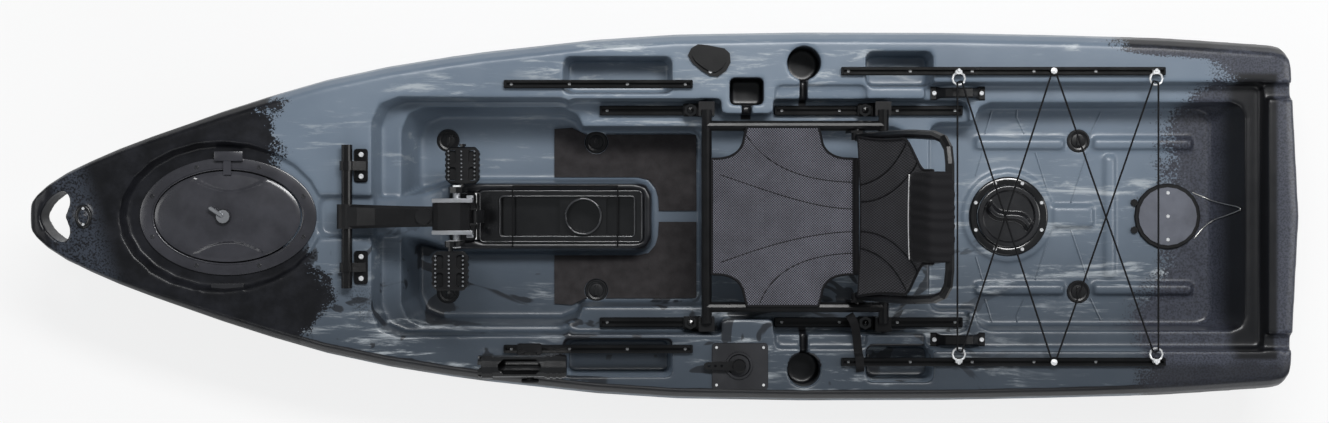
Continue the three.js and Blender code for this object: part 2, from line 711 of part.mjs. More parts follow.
function hatchLid() {
  const { x, hingeY, hingeZ, knuckle, knuckleHalf, lidY } = bowHatch;
  const plug = prism(oval(x, 0, bowHatch.plugX, bowHatch.plugY, roundSides), bowHatch.plugZ, bowHatch.lidEdge);
  const hollow = prism(oval(x, 0, bowHatch.plugX - wall, bowHatch.plugY - wall, roundSides),
    bowHatch.plugZ - over, bowHatch.lidEdge - bowHatch.lidSkin);
  const rib = common(prism(lidRib(), hatchRib.z0, hatchRib.z1), lidDome(hatchRib.raise));
  const bossX = x - bowHatch.bossShift;
  const boss = disc(bossX, 0, bowHatch.bossRadius, bowHatch.lidEdge, bowHatch.bossTop, tubeSides);
  const arm = prism(rounded([x - knuckleHalf, x + knuckleHalf, lidY - bowHatch.armIn, hingeY],
    bowHatch.baseRound), hingeZ - bowHatch.armHalf, hingeZ + bowHatch.armHalf);
  const barrel = lengthRod(hingeY, hingeZ, x - knuckleHalf, x + knuckleHalf, knuckle, tubeSides);
  const solid = join(lidDome(), plug, rib, mirrored(rib), boss, arm, barrel);
  const bore = lengthRod(hingeY, hingeZ, x - knuckleHalf - over, x + knuckleHalf + over,
    fit(bowHatch.pin, smallSides), smallSides);
  const socket = disc(bossX, 0, fit(latch.stem, cordSides), latch.socketZ - gap, deckZ * 2, cordSides);
  return carve(solid, hollow, bore, socket);
}

const latch = {
  radius: 18, stem: 6, socketZ: 328, top: 344, lever: 40, leverHalf: 5, leverTop: 349, angle: 2.55,
  ease: 2, sink: 1, steps: 3,
};

function hatchLatch() {
  const z = bowHatch.bossTop + gap;
  const cap = slab([-latch.radius, latch.radius, -latch.radius, latch.radius], latch.radius, z,
    latch.top, latch.ease, latch.steps);
  const stem = disc(0, 0, latch.stem, latch.socketZ, z + latch.sink, cordSides);
  const lever = slab([0, latch.lever, -latch.leverHalf, latch.leverHalf], latch.leverHalf,
    latch.top - latch.sink, latch.leverTop, latch.ease).rotateZ(latch.angle);
  return at(join(cap, stem, lever), bowHatch.x - bowHatch.bossShift, 0, 0);
}

// The round hatch: a screwed ring and a twist-out lid with a curved grip
const roundLid = {
  ringRadius: 98, ringTop: 164, lidRadius: 76, lidTop: 172, plugRadius: 66, plugZ: 148, screwRing: 88,
  gripHalf: 54, gripThick: 9, gripTop: 184, gripBend: 15, gripSink: 4, ringLip: 1, ease: 2, dish: 3, bevel: 4,
  rimIn: 14, rimOut: 18,
};

function roundRing() {
  const low = roundHatch.bossZ + gap;
  const hole = roundHatch.holeRadius - roundLid.ringLip;
  const { ringRadius, ringTop, ease } = roundLid;
  const ring = lathe([[hole, low], [ringRadius, low], [ringRadius, ringTop - ease],
    [ringRadius - ease, ringTop], [hole, ringTop], [hole, low]]);
  const screws = Array.from({ length: ringScrews }, (_, i) => {
    const angle = ((i + 0.5) / ringScrews) * Math.PI * 2;
    return screw(roundLid.screwRing * Math.cos(angle), roundLid.screwRing * Math.sin(angle),
      roundLid.ringTop, bowHatch.rivet, bowHatch.rivetHeight);
  });
  return at(join(ring, ...screws), roundHatch.x, 0, 0);
}

function roundCover() {
  const low = roundLid.ringTop + gap;
  const { lidRadius, lidTop, plugRadius, plugZ, dish, bevel: edge, rimIn, rimOut } = roundLid;
  const body = lathe([[0, plugZ], [plugRadius, plugZ], [plugRadius, low], [lidRadius, low],
    [lidRadius, lidTop - dish], [lidRadius - edge, lidTop], [lidRadius - rimIn, lidTop],
    [lidRadius - rimOut, lidTop - dish], [0, lidTop - dish]]);
  const outline = [];
  const turn = (share, side) => [
    roundLid.gripHalf * share + side * roundLid.gripThick * Math.sin(share * 2),
    roundLid.gripBend * Math.sin(share * Math.PI) + side * roundLid.gripThick,
  ];
  for (let i = -4; i <= 4; i += 1) outline.push(turn(i / 4, 1));
  for (let i = 4; i >= -4; i -= 1) outline.push(turn(i / 4, -1));
  const grip = prism(outline, lidTop - roundLid.gripSink, roundLid.gripTop).rotateZ(-0.9);
  return at(join(body, grip), roundHatch.x, 0, 0);
}

// The drive hangs on a bar across the bow end of the footwell
const pivot = { x: -763, z: 344, radius: 13, halfY: 171, hub: 24 };
const barClamp = {
  plateX0: -749, plateX1: -716, y0: 82, y1: 162, strapY0: 110, strapY1: 132, outer: 17.5, plateTop: 327.5,
  screwX: -731, screwIn: 14, screwRadius: 6, screwHeight: 4, round: 6, ease: 2, sink: 1, webIn: 4, webOut: 10,
  webTop: 13,
};

function barClampPiece() {
  const { plateX0, plateX1, y0, y1, strapY0, strapY1, outer, plateTop } = barClamp;
  const z0 = deckAt(plateX0) + gap;
  const { round, ease, sink, webIn, webOut, webTop } = barClamp;
  const plate = slab([plateX0, plateX1, y0, y1], round, z0, plateTop, ease);
  const collar = crossRod(pivot.x, pivot.z, strapY0, strapY1, outer, barSides);
  const web = sidePrism([[pivot.x, plateTop - ease], [plateX1 - webIn, z0 + sink], [plateX1 - webIn, plateTop],
    [pivot.x + webOut, pivot.z + webTop], [pivot.x, pivot.z + webOut]], strapY0, strapY1);
  const screws = [y0 + barClamp.screwIn, y1 - barClamp.screwIn].map((y) => (
    screw(barClamp.screwX, y, plateTop, barClamp.screwRadius, barClamp.screwHeight)
  ));
  const bore = crossRod(pivot.x, pivot.z, strapY0 - over, strapY1 + over, fit(pivot.radius, barSides),
    barSides);
  return carve(join(plate, collar, web, ...screws), bore);
}

// Distance along X, half width, underside and top of the arm
const armRings = [
  [-763, 29, 330, 366], [-735, 28.5, 332, 372], [-690, 27, 338, 386], [-620, 25, 346, 400],
  [-560, 24, 350, 408], [-552, 24, 350, 408],
];
const armCap = { x: -573, radius: 19, height: 5, sink: 4 };
const armEdge = { low: 5, high: 7, hubHalf: 29 };

function driveArm() {
  const beam = loft(armRings.map(([x, half, low, high]) => [
    [-half, low + armEdge.low], [armEdge.low - half, low], [half - armEdge.low, low],
    [half, low + armEdge.low], [half, high - armEdge.high], [half - armEdge.high, high],
    [armEdge.high - half, high], [-half, high - armEdge.high],
  ].map(([y, z]) => new THREE.Vector3(x, y, z))));
  const hub = crossRod(pivot.x, pivot.z, -armEdge.hubHalf, armEdge.hubHalf, pivot.hub, barSides);
  const top = armRings.at(-1)[3];
  const cap = disc(armCap.x, 0, armCap.radius, top - armCap.sink, top + armCap.height);
  const bore = crossRod(pivot.x, pivot.z, -over, over, fit(pivot.radius, barSides), barSides);
  return carve(join(beam, hub, cap), bore);
}

const crank = {
  x: -497, z: 385, axle: 9, radius: 140, armIn: 56, armOut: 70, boss: 20, foot: 13, reach: 172, spindle: 5.5,
  sink: 1, nut: 4, headOut: 2.5,
};
const housing = {
  x0: -551.5, x1: -465, half: 32, plateHalf: 38, low: 346, high: 424, cut: 22, cutLow: 20, bowCut: 14, rim: 6,
};
const downTube = {
  x: -505, radius: 19, low: 146, sink: 12, collar: 33, collarHalf: 62, collarRound: 12, collarEase: 3,
  collarTop: 167, lugRadius: 26, flareLow: 300, flareSink: 4,
};

function housingOutline(shrink) {
  const { x0, x1, low, high, cut, cutLow, bowCut } = housing;
  return [
    [x0 + shrink, low + shrink], [x1 - cut, low + shrink], [x1 - shrink, low + cutLow],
    [x1 - shrink, high - cut], [x1 - cutLow, high - shrink], [x0 + bowCut, high - shrink],
    [x0 + shrink, high - bowCut],
  ];
}

function gearHousing() {
  const core = sidePrism(housingOutline(0), -housing.half, housing.half);
  const sides = sidePrism(housingOutline(housing.rim), -housing.plateHalf, housing.plateHalf);
  const post = disc(downTube.x, 0, downTube.radius, downTube.low, housing.low + downTube.sink, barSides);
  const flareTop = housing.low + downTube.flareSink;
  const flare = at(lathe([[0, downTube.flareLow], [downTube.radius, downTube.flareLow],
    [downTube.lugRadius, flareTop], [0, flareTop]], barSides), downTube.x, 0, 0);
  const collarRect = [downTube.x - downTube.collar, downTube.x + downTube.collar, -downTube.collarHalf,
    downTube.collarHalf];
  const collar = slab(collarRect, downTube.collarRound, island.topZ + gap, downTube.collarTop,
    downTube.collarEase);
  const { earIn, earOut, earGap, earThick, earLow, earHigh, earRoot } = latchLever;
  const ear = sidePrism([[housing.x1 - earIn, earLow], [latchLever.x + earOut, earLow],
    [latchLever.x + earOut, earHigh], [housing.x1 - earIn, earRoot]],
  latchLever.half + earGap - earThick, latchLever.half + earGap);
  const bore = crossRod(crank.x, crank.z, -over, over, fit(crank.axle, tubeSides), tubeSides);
  const pinBore = crossRod(latchLever.x, latchLever.z, -over, over, fit(latchLever.pin, smallSides),
    smallSides);
  return carve(join(core, sides, post, flare, collar, ear, mirrored(ear)), bore, pinBore);
}

// The lever that locks the drive down, on ears behind the housing
const latchLever = {
  x: -455, z: 378, half: 15, pin: 4, pinOut: 6, boss: 8, earIn: 8, earOut: 9, earGap: 5, earThick: 4,
  earLow: 368, earHigh: 388, earRoot: 392,
};
const latchOutline = [[-5, 0], [7, 4], [18, -10], [18, -52], [12, -60], [8, -54], [10, -16]];

function driveLatch() {
  const { x, z, half, boss, pinOut } = latchLever;
  const barrel = crossRod(x, z, -half, half, boss, tubeSides);
  const handle = sidePrism(latchOutline.map(([aft, up]) => [x + aft, z + up]), -half, half);
  const pin = crossRod(x, z, -half - pinOut, half + pinOut, latchLever.pin, smallSides);
  return join(barrel, handle, pin);
}

function crankAxle() {
  return crossRod(crank.x, crank.z, -crank.armIn + gap, crank.armIn - gap, crank.axle, tubeSides);
}

// One crank with its pedal spindle, hanging straight down on the starboard side
function crankArm() {
  const { x, z, radius, armIn, armOut, boss, foot, reach, spindle, sink } = crank;
  const low = z - radius;
  const outline = [
    [x - boss, z], [x - boss * 0.7, z + boss * 0.7], [x, z + boss], [x + boss * 0.7, z + boss * 0.7],
    [x + boss, z], [x + foot, z - boss * 1.6], [x + foot, low], [x + foot * 0.7, low - foot * 0.7],
    [x, low - foot], [x - foot * 0.7, low - foot * 0.7], [x - foot, low], [x - foot, z - boss * 1.6],
  ];
  const arm = sidePrism(outline, armIn, armOut);
  const nut = crossRod(x, z, armOut - sink, armOut + crank.nut, boss * 0.5, smallSides);
  const pin = crossRod(x, low, armOut - sink, reach, spindle, smallSides);
  const head = crossRod(x, low, reach - sink, reach + crank.nut, spindle + crank.headOut, smallSides);
  return join(arm, nut, pin, head);
}

const pedal = {
  halfX: 42, y0: 79, y1: 169, halfZ: 12, ledge: 8, tooth: 5, teeth: 6, windowX0: 15, windowX1: 33, round: 12,
  ease: 3, windowRound: 4, bite: 3, taper: 1.5,
};

// A pedal body with open windows fore and aft of the spindle and toothed ends
function pedalBody(z) {
  const { halfX, y0, y1, halfZ, teeth, tooth, round, ease, bite, taper } = pedal;
  const core = slab([-halfX, halfX, y0, y1], round, -halfZ, halfZ, ease, innerSteps);
  const windows = [-1, 1].flatMap((way) => [0, 1].map((row) => {
    const x0 = way > 0 ? pedal.windowX0 : -pedal.windowX1;
    const rowLength = (y1 - y0 - 3 * pedal.ledge) / 2;
    const start = y0 + pedal.ledge + row * (rowLength + pedal.ledge);
    const x1 = x0 + pedal.windowX1 - pedal.windowX0;
    return prism(rounded([x0, x1, start, start + rowLength], pedal.windowRound, innerSteps), -over, over);
  }));
  const notches = [-1, 1].flatMap((way) => Array.from({ length: teeth }, (_, i) => {
    const y = y0 + ((i + 0.75) / (teeth + 0.5)) * (y1 - y0);
    const edge = way * halfX;
    return prism([[edge - tooth, y - tooth], [edge - tooth, y + tooth], [edge + tooth, y + tooth],
      [edge + tooth, y - tooth]].map(([px, py]) => [px + way * bite, py + (py > y ? -taper : taper)]),
    -over, over);
  }));
  const bore = crossRod(0, 0, y0 - over, y1 + over, fit(crank.spindle, smallSides),
    smallSides);
  const rebate = crossRod(0, 0, crank.reach - crank.sink - gap, y1 + over,
    fit(crank.spindle + crank.headOut, smallSides), smallSides);
  return at(carve(core, ...windows, ...notches, bore, rebate), crank.x, 0, z);
}

// The lower leg folds back under the tray when it isn't in the water
const leg = {
  pivotX: -505, pivotZ: 62, hub: 24, halfY: 17, pin: 7,
};
// Distance along X, half width and half height of the strut, and radius and height round the pod
const strutRings = [
  [-497, 15, 22], [-470, 13, 20], [-400, 11, 18], [-320, 10, 17], [-262, 11, 18], [-230, 9, 17],
];
const podProfile = [[0, 41], [14, 41], [19, 48], [23, 60], [18, 76], [8, 86], [0, 86]];

function driveLeg() {
  const hub = crossRod(leg.pivotX, leg.pivotZ, -leg.halfY, leg.halfY, leg.hub, barSides);
  const strut = loft(strutRings.map(([x, half, tall]) => [
    [-half, 0], [-half * 0.6, -tall * 0.8], [0, -tall], [half * 0.6, -tall * 0.8], [half, 0],
    [half * 0.6, tall * 0.8], [0, tall], [-half * 0.6, tall * 0.8],
  ].map(([y, z]) => new THREE.Vector3(x, y, leg.pivotZ + z))));
  const pod = at(lathe(podProfile, lugSides), propeller.x, 0, 0);
  const bore = crossRod(leg.pivotX, leg.pivotZ, -over, over, fit(leg.pin, smallSides), smallSides);
  const shaftHole = disc(propeller.x, 0, fit(propeller.shaft, smallSides), -over,
    propeller.shaftTop + gap, smallSides);
  return carve(join(hub, strut, pod), bore, shaftHole);
}

const bracket = {
  halfY: 33, inner: 18, low: 40, top: 132, x0: wellThroat.x0 + gap, x1: -478, cut: 14, round: 8, bridgeLow: 112,
  clutch: 12, sink: 2, bite: 1,
};

// The fixed fork in the trunk that holds the leg, with the dog clutch that the drive drops into
function legBracket() {
  const { x0, x1, low, top, cut, halfY } = bracket;
  const cheeks = [-1, 1].map((way) => {
    const [a, b] = [way * bracket.inner, way * halfY];
    return sidePrism([[x0, top], [x0, leg.pivotZ], [x0 + cut, low], [x1 - cut, low], [x1, leg.pivotZ], [x1, top]],
      Math.min(a, b), Math.max(a, b));
  });
  const bridge = prism(rounded([x0, x1, -halfY, halfY], bracket.round), bracket.bridgeLow, top);
  const clutch = disc(downTube.x, 0, bracket.clutch, top - bracket.sink, downTube.low - bracket.bite,
    tubeSides);
  const pinHalf = bracket.inner + bracket.bite;
  const pin = crossRod(leg.pivotX, leg.pivotZ, -pinHalf, pinHalf, leg.pin, smallSides);
  return join(...cheeks, bridge, clutch, pin);
}

const blade = { root: 12, mid: 30, tip: 14, thick: 2.6, steps: 6 };

// A twisted two-blade propeller, its blades along the hull so that it stows in its recess
function propellerPiece() {
  const half = propeller.height / 2;
  const { nose, noseRise, brim } = propeller;
  const hub = lathe([[0, -half], [nose, -half], [propeller.hub, noseRise - half], [propeller.hub, half - brim],
    [0, half - brim]], lugSides);
  const shaft = disc(0, 0, propeller.shaft, half - propeller.sink, propeller.shaftTop - propeller.z, smallSides);
  const rings = [];
  for (let i = 0; i <= blade.steps; i += 1) {
    const share = i / blade.steps;
    const along = nose + (propeller.radius - nose) * share;
    const chord = share < 0.5
      ? THREE.MathUtils.lerp(blade.root, blade.mid, Math.sin(share * Math.PI))
      : THREE.MathUtils.lerp(blade.mid, blade.tip, (share - 0.5) ** 2 * 4);
    const pitch = THREE.MathUtils.lerp(0.62, 0.28, share);
    const thick = blade.thick * (1.6 - share);
    rings.push([[-chord, 0], [-chord * 0.4, thick], [chord * 0.5, thick], [chord, 0], [chord * 0.5, -thick],
      [-chord * 0.4, -thick]].map(([y, z]) => new THREE.Vector3(
      along, y * Math.cos(pitch) * 0.8 - z * Math.sin(pitch), y * Math.sin(pitch) * 0.5 + z * Math.cos(pitch),
    )));
  }
  const one = loft(rings);
  const other = closed(one.clone().rotateZ(Math.PI));
  return at(join(hub, shaft, one, other), propeller.x, 0, propeller.z);
}

// The tray that fills the well, with a cup holder
const tray = {
  x0: -466, x1: -59, half: 66, flangeLow: well.rebateZ + gap, flangeTop: 157, bodyX0: -460, bodyX1: -68,
  bodyHalf: 56, low: 98, floor: 112, radius: 12, cupX: -207, cupOuter: 46, cupInner: 41, cupTop: 166,
  cupFloor: 102, ease: 2, draft: 6, sink: 1, rim: 6, roomBow: 40, roomGap: 10, roomAft: 8, roomDraft: 4,
  roomRound: 8, stepBow: 46, stepAft: 12, stepDeep: 14,
};

function wellTray() {
  const body = [tray.bodyX0, tray.bodyX1, -tray.bodyHalf, tray.bodyHalf];
  const flange = slab([tray.x0, tray.x1, -tray.half, tray.half], tray.radius, tray.flangeLow, tray.flangeTop,
    tray.ease);
  const box = loft([
    lifted(rounded(grown(body, -tray.draft), tray.radius), tray.low),
    lifted(rounded(body, tray.radius), tray.flangeLow + tray.sink),
  ]);
  const roomHalf = tray.bodyHalf - tray.rim;
  const rooms = [
    [tray.bodyX0 + tray.roomBow, tray.cupX - tray.cupOuter - tray.roomGap],
    [tray.cupX + tray.cupOuter + tray.roomAft, tray.bodyX1 - tray.rim],
  ].map(([x0, x1]) => [x0, x1, -roomHalf, roomHalf]).map((room) => loft([
    lifted(rounded(grown(room, -tray.roomDraft), tray.roomRound), tray.floor),
    lifted(rounded(room, tray.roomRound), tray.flangeTop + over),
  ]));
  const step = [tray.bodyX0 + tray.stepBow, tray.bodyX1 - tray.stepAft, -roomHalf, roomHalf];
  const wide = prism(rounded(step, tray.roomRound), tray.flangeTop - tray.stepDeep, tray.flangeTop + over);
  const cup = disc(tray.cupX, 0, tray.cupOuter, tray.low, tray.cupTop);
  const hollow = disc(tray.cupX, 0, tray.cupInner, tray.cupFloor, tray.cupTop + over);
  const shell = carve(join(flange, box), ...rooms, wide);
  return carve(join(shell, cup), hollow);
}

// One elastic cord crosses the tray twice and runs back along its starboard side
const trayCord = { radius: 2, z: 159.4, lowZ: 157.4, frontX: -382, rearX: -122, y: 75, ease: 10, bend: 4 };

function trayCordPiece() {
  const { radius, z, lowZ, frontX, rearX, y, ease, bend } = trayCord;
  const path = eased([[frontX, -y, lowZ], [frontX, ease - y, z], [frontX, y - ease, z], [frontX, y, lowZ],
    [rearX, y, lowZ], [rearX, y - ease, z], [rearX, ease - y, z], [rearX, -y, lowZ]], bend, 2);
  return tube(path, radius, cordSides, new THREE.Vector3(1, 1, 1.7).normalize());
}

// Aluminium track with a slot along its top
const railSection = { high: 13, slot: 4.5, mouth: 3, lip: 3, floor: 3, end: 6, edge: 2, lap: 1 };

function rail(x0, x1, y, z, half) {
  const { high, slot, mouth, lip, floor, end, edge, lap } = railSection;
  const open = slot + mouth;
  const outline = [
    [-half, 0], [half, 0], [half, high - edge], [half - edge, high], [mouth, high], [mouth, high - lip],
    [open, high - lip], [open, floor], [-open, floor], [-open, high - lip], [-mouth, high - lip],
    [-mouth, high], [edge - half, high], [-half, high - edge],
  ].map(([across, up]) => [y + across, z + gap + up]);
  const track = frontPrism(outline, x0 + end, x1 - end);
  const stops = [[x0, x0 + end + lap], [x1 - end - lap, x1]].map(([from, to]) => (
    slab([from, to, y - half, y + half], edge, z + gap, z + gap + high, edge, innerSteps)
  ));
  return join(track, ...stops);
}

const outerHalf = 10;
const innerHalf = 12;
const foreRail = { x0: -392, x1: 62, y: 318 };
const aftRail = { x0: 418, x1: 1197, y: 349 };
const seatRailFront = { x0: -164, x1: 89, y: 258 };
const seatRailRear = { x0: 262, x1: 721, y: 258 };
const dRing = {
  xs: [699, 1172], radius: 15, wire: 2.5, rise: 6, steps: 10, sides: 5, footHalf: 9, footIn: 6, footRound: 4,
  footTop: 11, ease: 2, in: 4, sink: 1, knobX: 927,
};
const cordKnob = [[0, 0], [6, 0], [6, 4], [8, 7], [8, 10], [0, 12]];

// A wire ring lying inboard of the rail, on a small foot that is bolted to the rail
function ringFitting(x, y, z) {
  const top = z + railSection.high;
  const path = Array.from({ length: dRing.steps }, (_, i) => {
    const angle = (i / dRing.steps) * Math.PI * 2;
    return new THREE.Vector3(x + dRing.radius * Math.cos(angle), y + dRing.radius * (Math.sin(angle) - 1),
      top + dRing.rise);
  });
  const ring = tube(path, dRing.wire, dRing.sides, new THREE.Vector3(0, 0, 1), true);
  const foot = slab([x - dRing.footHalf, x + dRing.footHalf, y - dRing.footIn, y + outerHalf],
    dRing.footRound, top - dRing.sink, top + dRing.footTop, dRing.ease, innerSteps);
  return [ring, foot];
}

function aftRailPiece() {
  const { x0, x1, y } = aftRail;
  const fittings = dRing.xs.flatMap((x) => ringFitting(x, y - dRing.in, deckZ));
  const knob = at(lathe(cordKnob, cordSides), dRing.knobX, y, deckZ + railSection.high - dRing.sink);
  return join(rail(x0, x1, y, deckZ, outerHalf), ...fittings, knob);
}

const bungee = {
  radius: 2.2, z: 324, wave: 2.8, y: 321, knobY: 338, frontX: 699, midX: 927, aftX: 1172, near: 4, far: 6,
  turn: 8, clipFrom: -17, clipTo: 5, clip: 4.6,
};

// The cargo cord runs across the front, from side to side over the middle, and across the back
function cargoCord() {
  const { z, wave, y, knobY, frontX, midX, aftX, near, far, turn } = bungee;
  const corners = [
    [frontX - near, y, z], [frontX - near, -y, z], [frontX + far, -y - near, z], [midX - turn, knobY, z],
    [midX + far, knobY, z], [aftX - turn, -y - near, z], [aftX + near, -y, z], [aftX + near, y, z],
    [aftX - turn, y + near, z], [midX + far, -knobY, z], [midX - turn, -knobY, z], [frontX + far, y + near, z],
  ];
  const path = [];
  corners.forEach((corner, i) => {
    const next = corners[(i + 1) % corners.length];
    const from = new THREE.Vector3(...corner);
    const to = new THREE.Vector3(...next);
    const rise = { 2: 1, 4: -1, 8: 1, 10: -1 }[i] ?? 0;
    const steps = rise ? 4 : 2;
    for (let k = 0; k < steps; k += 1) {
      const point = from.clone().lerp(to, k / steps);
      point.z += rise * wave * Math.sin((k / steps) * Math.PI);
      path.push(point);
    }
  });
  const cord = tube(path, bungee.radius, cordSides, new THREE.Vector3(0, 0, 1), true);
  const clip = crossRod(aftX + near, z, bungee.clipFrom, bungee.clipTo, bungee.clip, smallSides);
  return join(cord, clip);
}

// Foam mats beside the well, cut round the drain plugs
const mat = { z0: floorZ + gap, thick: 4.5, hole: 30 };
const matOutline = [
  [-282, 98], [-282, 219], [-238, 222], [-222, 214], [-204, 205], [74, 205], [74, 14], [-20, 14],
  [-22, 48], [-29, 72], [-46, 92], [-72, 98],
];

function footMat() {
  const [x, y] = scuppers[0];
  return carve(prism(matOutline, mat.z0, mat.z0 + mat.thick),
    disc(x, y, mat.hole, floorZ - over, floorZ + over, roundSides));
}

// The seat: a tube frame on four rail clamps, with slings for the base and the back
const seat = {
  tube: 12.5, z: 318, sideY: 217, frontX: 95, rearX: 519, endY: 256, hingeX: 452, hingeZ: 345,
  hingeIn: 199, hingeOut: 204.5, pin: 5, tabFoot: 24, tabSink: 4, tabHead: 14, tabTop: 10, linkIn: 2,
  linkHalf: 20, linkRound: 3, linkRise: 5, pinIn: 11, pinOut: 4,
};

function seatFrame() {
  const sides = [-1, 1].map((way) => (
    lengthRod(way * seat.sideY, seat.z, seat.frontX, seat.rearX, seat.tube)
  ));
  const crosses = [seat.frontX, seat.rearX].map((x) => (
    crossRod(x, seat.z, -seat.endY, seat.endY, seat.tube)
  ));
  const tabs = [-1, 1].map((way) => {
    const [a, b] = [way * seat.hingeIn, way * seat.hingeOut];
    const [low, high] = [seat.z - seat.tabSink, seat.hingeZ + seat.tabTop];
    return sidePrism([[seat.hingeX - seat.tabFoot, low], [seat.hingeX + seat.tabFoot, low],
      [seat.hingeX + seat.tabHead, high], [seat.hingeX - seat.tabHead, high]], Math.min(a, b), Math.max(a, b));
  });
  const links = [-1, 1].map((way) => {
    const [a, b] = [way * seat.hingeIn, way * (seat.sideY - seat.linkIn)];
    const rect = [seat.hingeX - seat.linkHalf, seat.hingeX + seat.linkHalf, Math.min(a, b), Math.max(a, b)];
    return prism(rounded(rect, seat.linkRound), seat.z - seat.linkRise, seat.z + seat.linkRise);
  });
  const pins = [-1, 1].map((way) => {
    const [a, b] = [way * (seat.hingeIn - seat.pinIn), way * (seat.hingeOut + seat.pinOut)];
    return crossRod(seat.hingeX, seat.hingeZ, Math.min(a, b), Math.max(a, b), seat.pin, smallSides);
  });
  return join(...sides, ...crosses, ...tabs, ...links, ...pins);
}

const clamp = {
  half: 19, y0: 238, y1: 276, low: shelfZ + railSection.high + gap, top: 314, footX: 56, footTop: 250,
  footIn: 15, footOut: 17, footRound: 4, ease: 2, postIn: 4, waist: 10, waistZ: 270, shoulderZ: 300, round: 1,
  stud: 3.6,
};
const starKnob = {
  x: 38, y: 258, radius: 16, lobe: 2.2, lobes: 6, low: clamp.footTop + gap, top: 268, headTop: 262, crownLow: 261,
  crownWide: 9, crownTop: 7, crownEdge: 266, stud: 2.6, studLow: 230, sink: 1,
};

// A foot that grips the rail, with a saddle on top for the seat's cross tube
function railClamp(x) {
  const { half, y0, y1, low, top, footX, footTop, waist, waistZ, shoulderZ, ease } = clamp;
  const rect = [x - footX, x + half, seatRailFront.y - clamp.footIn, seatRailFront.y + clamp.footOut];
  const foot = slab(rect, clamp.footRound, low + gap, footTop, ease);
  const post = sidePrism([[x - half, footTop - ease], [x + half, footTop - ease], [x + waist, waistZ],
    [x + half, shoulderZ], [x + half, top], [x - half, top], [x - half, shoulderZ], [x - waist, waistZ]],
  y0 + clamp.postIn, y1);
  const saddle = crossRod(x, seat.z, y0 - over, seat.endY + gap, seat.tube + gap, tubeSides);
  const mouth = prism(rounded([x - seat.tube, x + seat.tube, y0 - over, seat.endY + gap], clamp.round), seat.z,
    top + over);
  const studHole = disc(x - starKnob.x, starKnob.y, clamp.stud + gap, low - over, top, smallSides);
  return carve(join(foot, post), saddle, mouth, studHole);
}

// A star knob on a stud that ends in a foot inside the rail
function clampKnob(x, y) {
  const { radius, lobe, lobes, low, top, crownLow, crownEdge } = starKnob;
  const outline = Array.from({ length: ovalSides }, (_, i) => {
    const angle = (i / ovalSides) * Math.PI * 2;
    const r = radius - lobe * (1 + Math.cos(angle * lobes)) / 2;
    return [r * Math.cos(angle), r * Math.sin(angle)];
  });
  const head = prism(outline, low, starKnob.headTop);
  const crown = lathe([[0, crownLow], [starKnob.crownWide, crownLow], [starKnob.crownTop, crownEdge],
    [0, top]], smallSides);
  const stud = disc(0, 0, starKnob.stud, starKnob.studLow, low + starKnob.sink, smallSides);
  return at(join(head, crown, stud), x, y, 0);
}

const sling = {
  x0: 107, x1: 446, half: 214, z: 330.6, thick: 3.6, sag: 20, cutX: 78, cutY: 72, across: 8, along: 12,
};

// The seat sling dips between its side tubes, with a quarter round cut from each corner
function seatSling() {
  const rings = [];
  for (let i = 0; i <= sling.along; i += 1) {
    const share = i / sling.along;
    const x = THREE.MathUtils.lerp(sling.x0, sling.x1, share);
    const near = Math.min(x - sling.x0, sling.x1 - x, sling.cutX) / sling.cutX;
    const half = sling.half - sling.cutY * Math.sqrt(Math.max(1 - near * near, 0));
    const dip = sling.sag * (0.35 + 0.65 * Math.sin(share * Math.PI));
    const line = Array.from({ length: sling.across + 1 }, (_, k) => {
      const y = half * ((2 * k) / sling.across - 1);
      return [y, sling.z - dip * (1 - (y / sling.half) ** 2)];
    });
    rings.push([
      ...line.map(([y, z]) => new THREE.Vector3(x, y, z)),
      ...line.reverse().map(([y, z]) => new THREE.Vector3(x, y, z + sling.thick)),
    ]);
  }
  return loft(rings);
}

// The back stands at the hinge and leans aft. Its pieces are drawn upright from the hinge.
const back = {
  lean: 0.36, half: 188, shoulder: 176, top: 438, bend: 60, tube: 10.5, slingLow: 34, slingTop: 404,
  thick: 3.4, bow: 26, padLow: 348, padTop: 444, padHalf: 97, padThick: 21, padShift: 28, crossZ: 150, crossHalf: 8,
  low: 6, elbow: 260, topX: 10, eyeIn: 6, eye: 13,
};

function leaned(geometry) {
  return at(closed(geometry.clone().rotateY(back.lean)), seat.hingeX, 0, seat.hingeZ);
}

function backFrame() {
  const corners = [[0, -back.half, back.low], [0, -back.half, back.elbow], [back.topX, -back.shoulder, back.top],
    [back.topX, back.shoulder, back.top], [0, back.half, back.elbow], [0, back.half, back.low]];
  const bow = tube(eased(corners, back.bend, 3), back.tube, smallSides, new THREE.Vector3(1, 0, 0));
  const cross = rod(new THREE.Vector3(back.bow, -back.half, back.crossZ),
    new THREE.Vector3(back.bow, back.half, back.crossZ), back.crossHalf, cordSides);
  const arms = [-1, 1].map((way) => rod(new THREE.Vector3(0, way * back.half, back.crossZ),
    new THREE.Vector3(back.bow, way * back.half, back.crossZ), back.crossHalf, cordSides));
  const eyes = [-1, 1].map((way) => {
    const [a, b] = [way * (back.half - back.eyeIn), way * (seat.hingeIn - gap)];
    return crossRod(0, 0, Math.min(a, b), Math.max(a, b), back.eye, tubeSides);
  });
  const bores = [-1, 1].map((way) => {
    const [a, b] = [way * (back.half - over), way * (back.half + over)];
    return crossRod(0, 0, Math.min(a, b), Math.max(a, b), fit(seat.pin, smallSides), smallSides);
  });
  return leaned(carve(join(bow, cross, ...arms, ...eyes), ...bores));
}

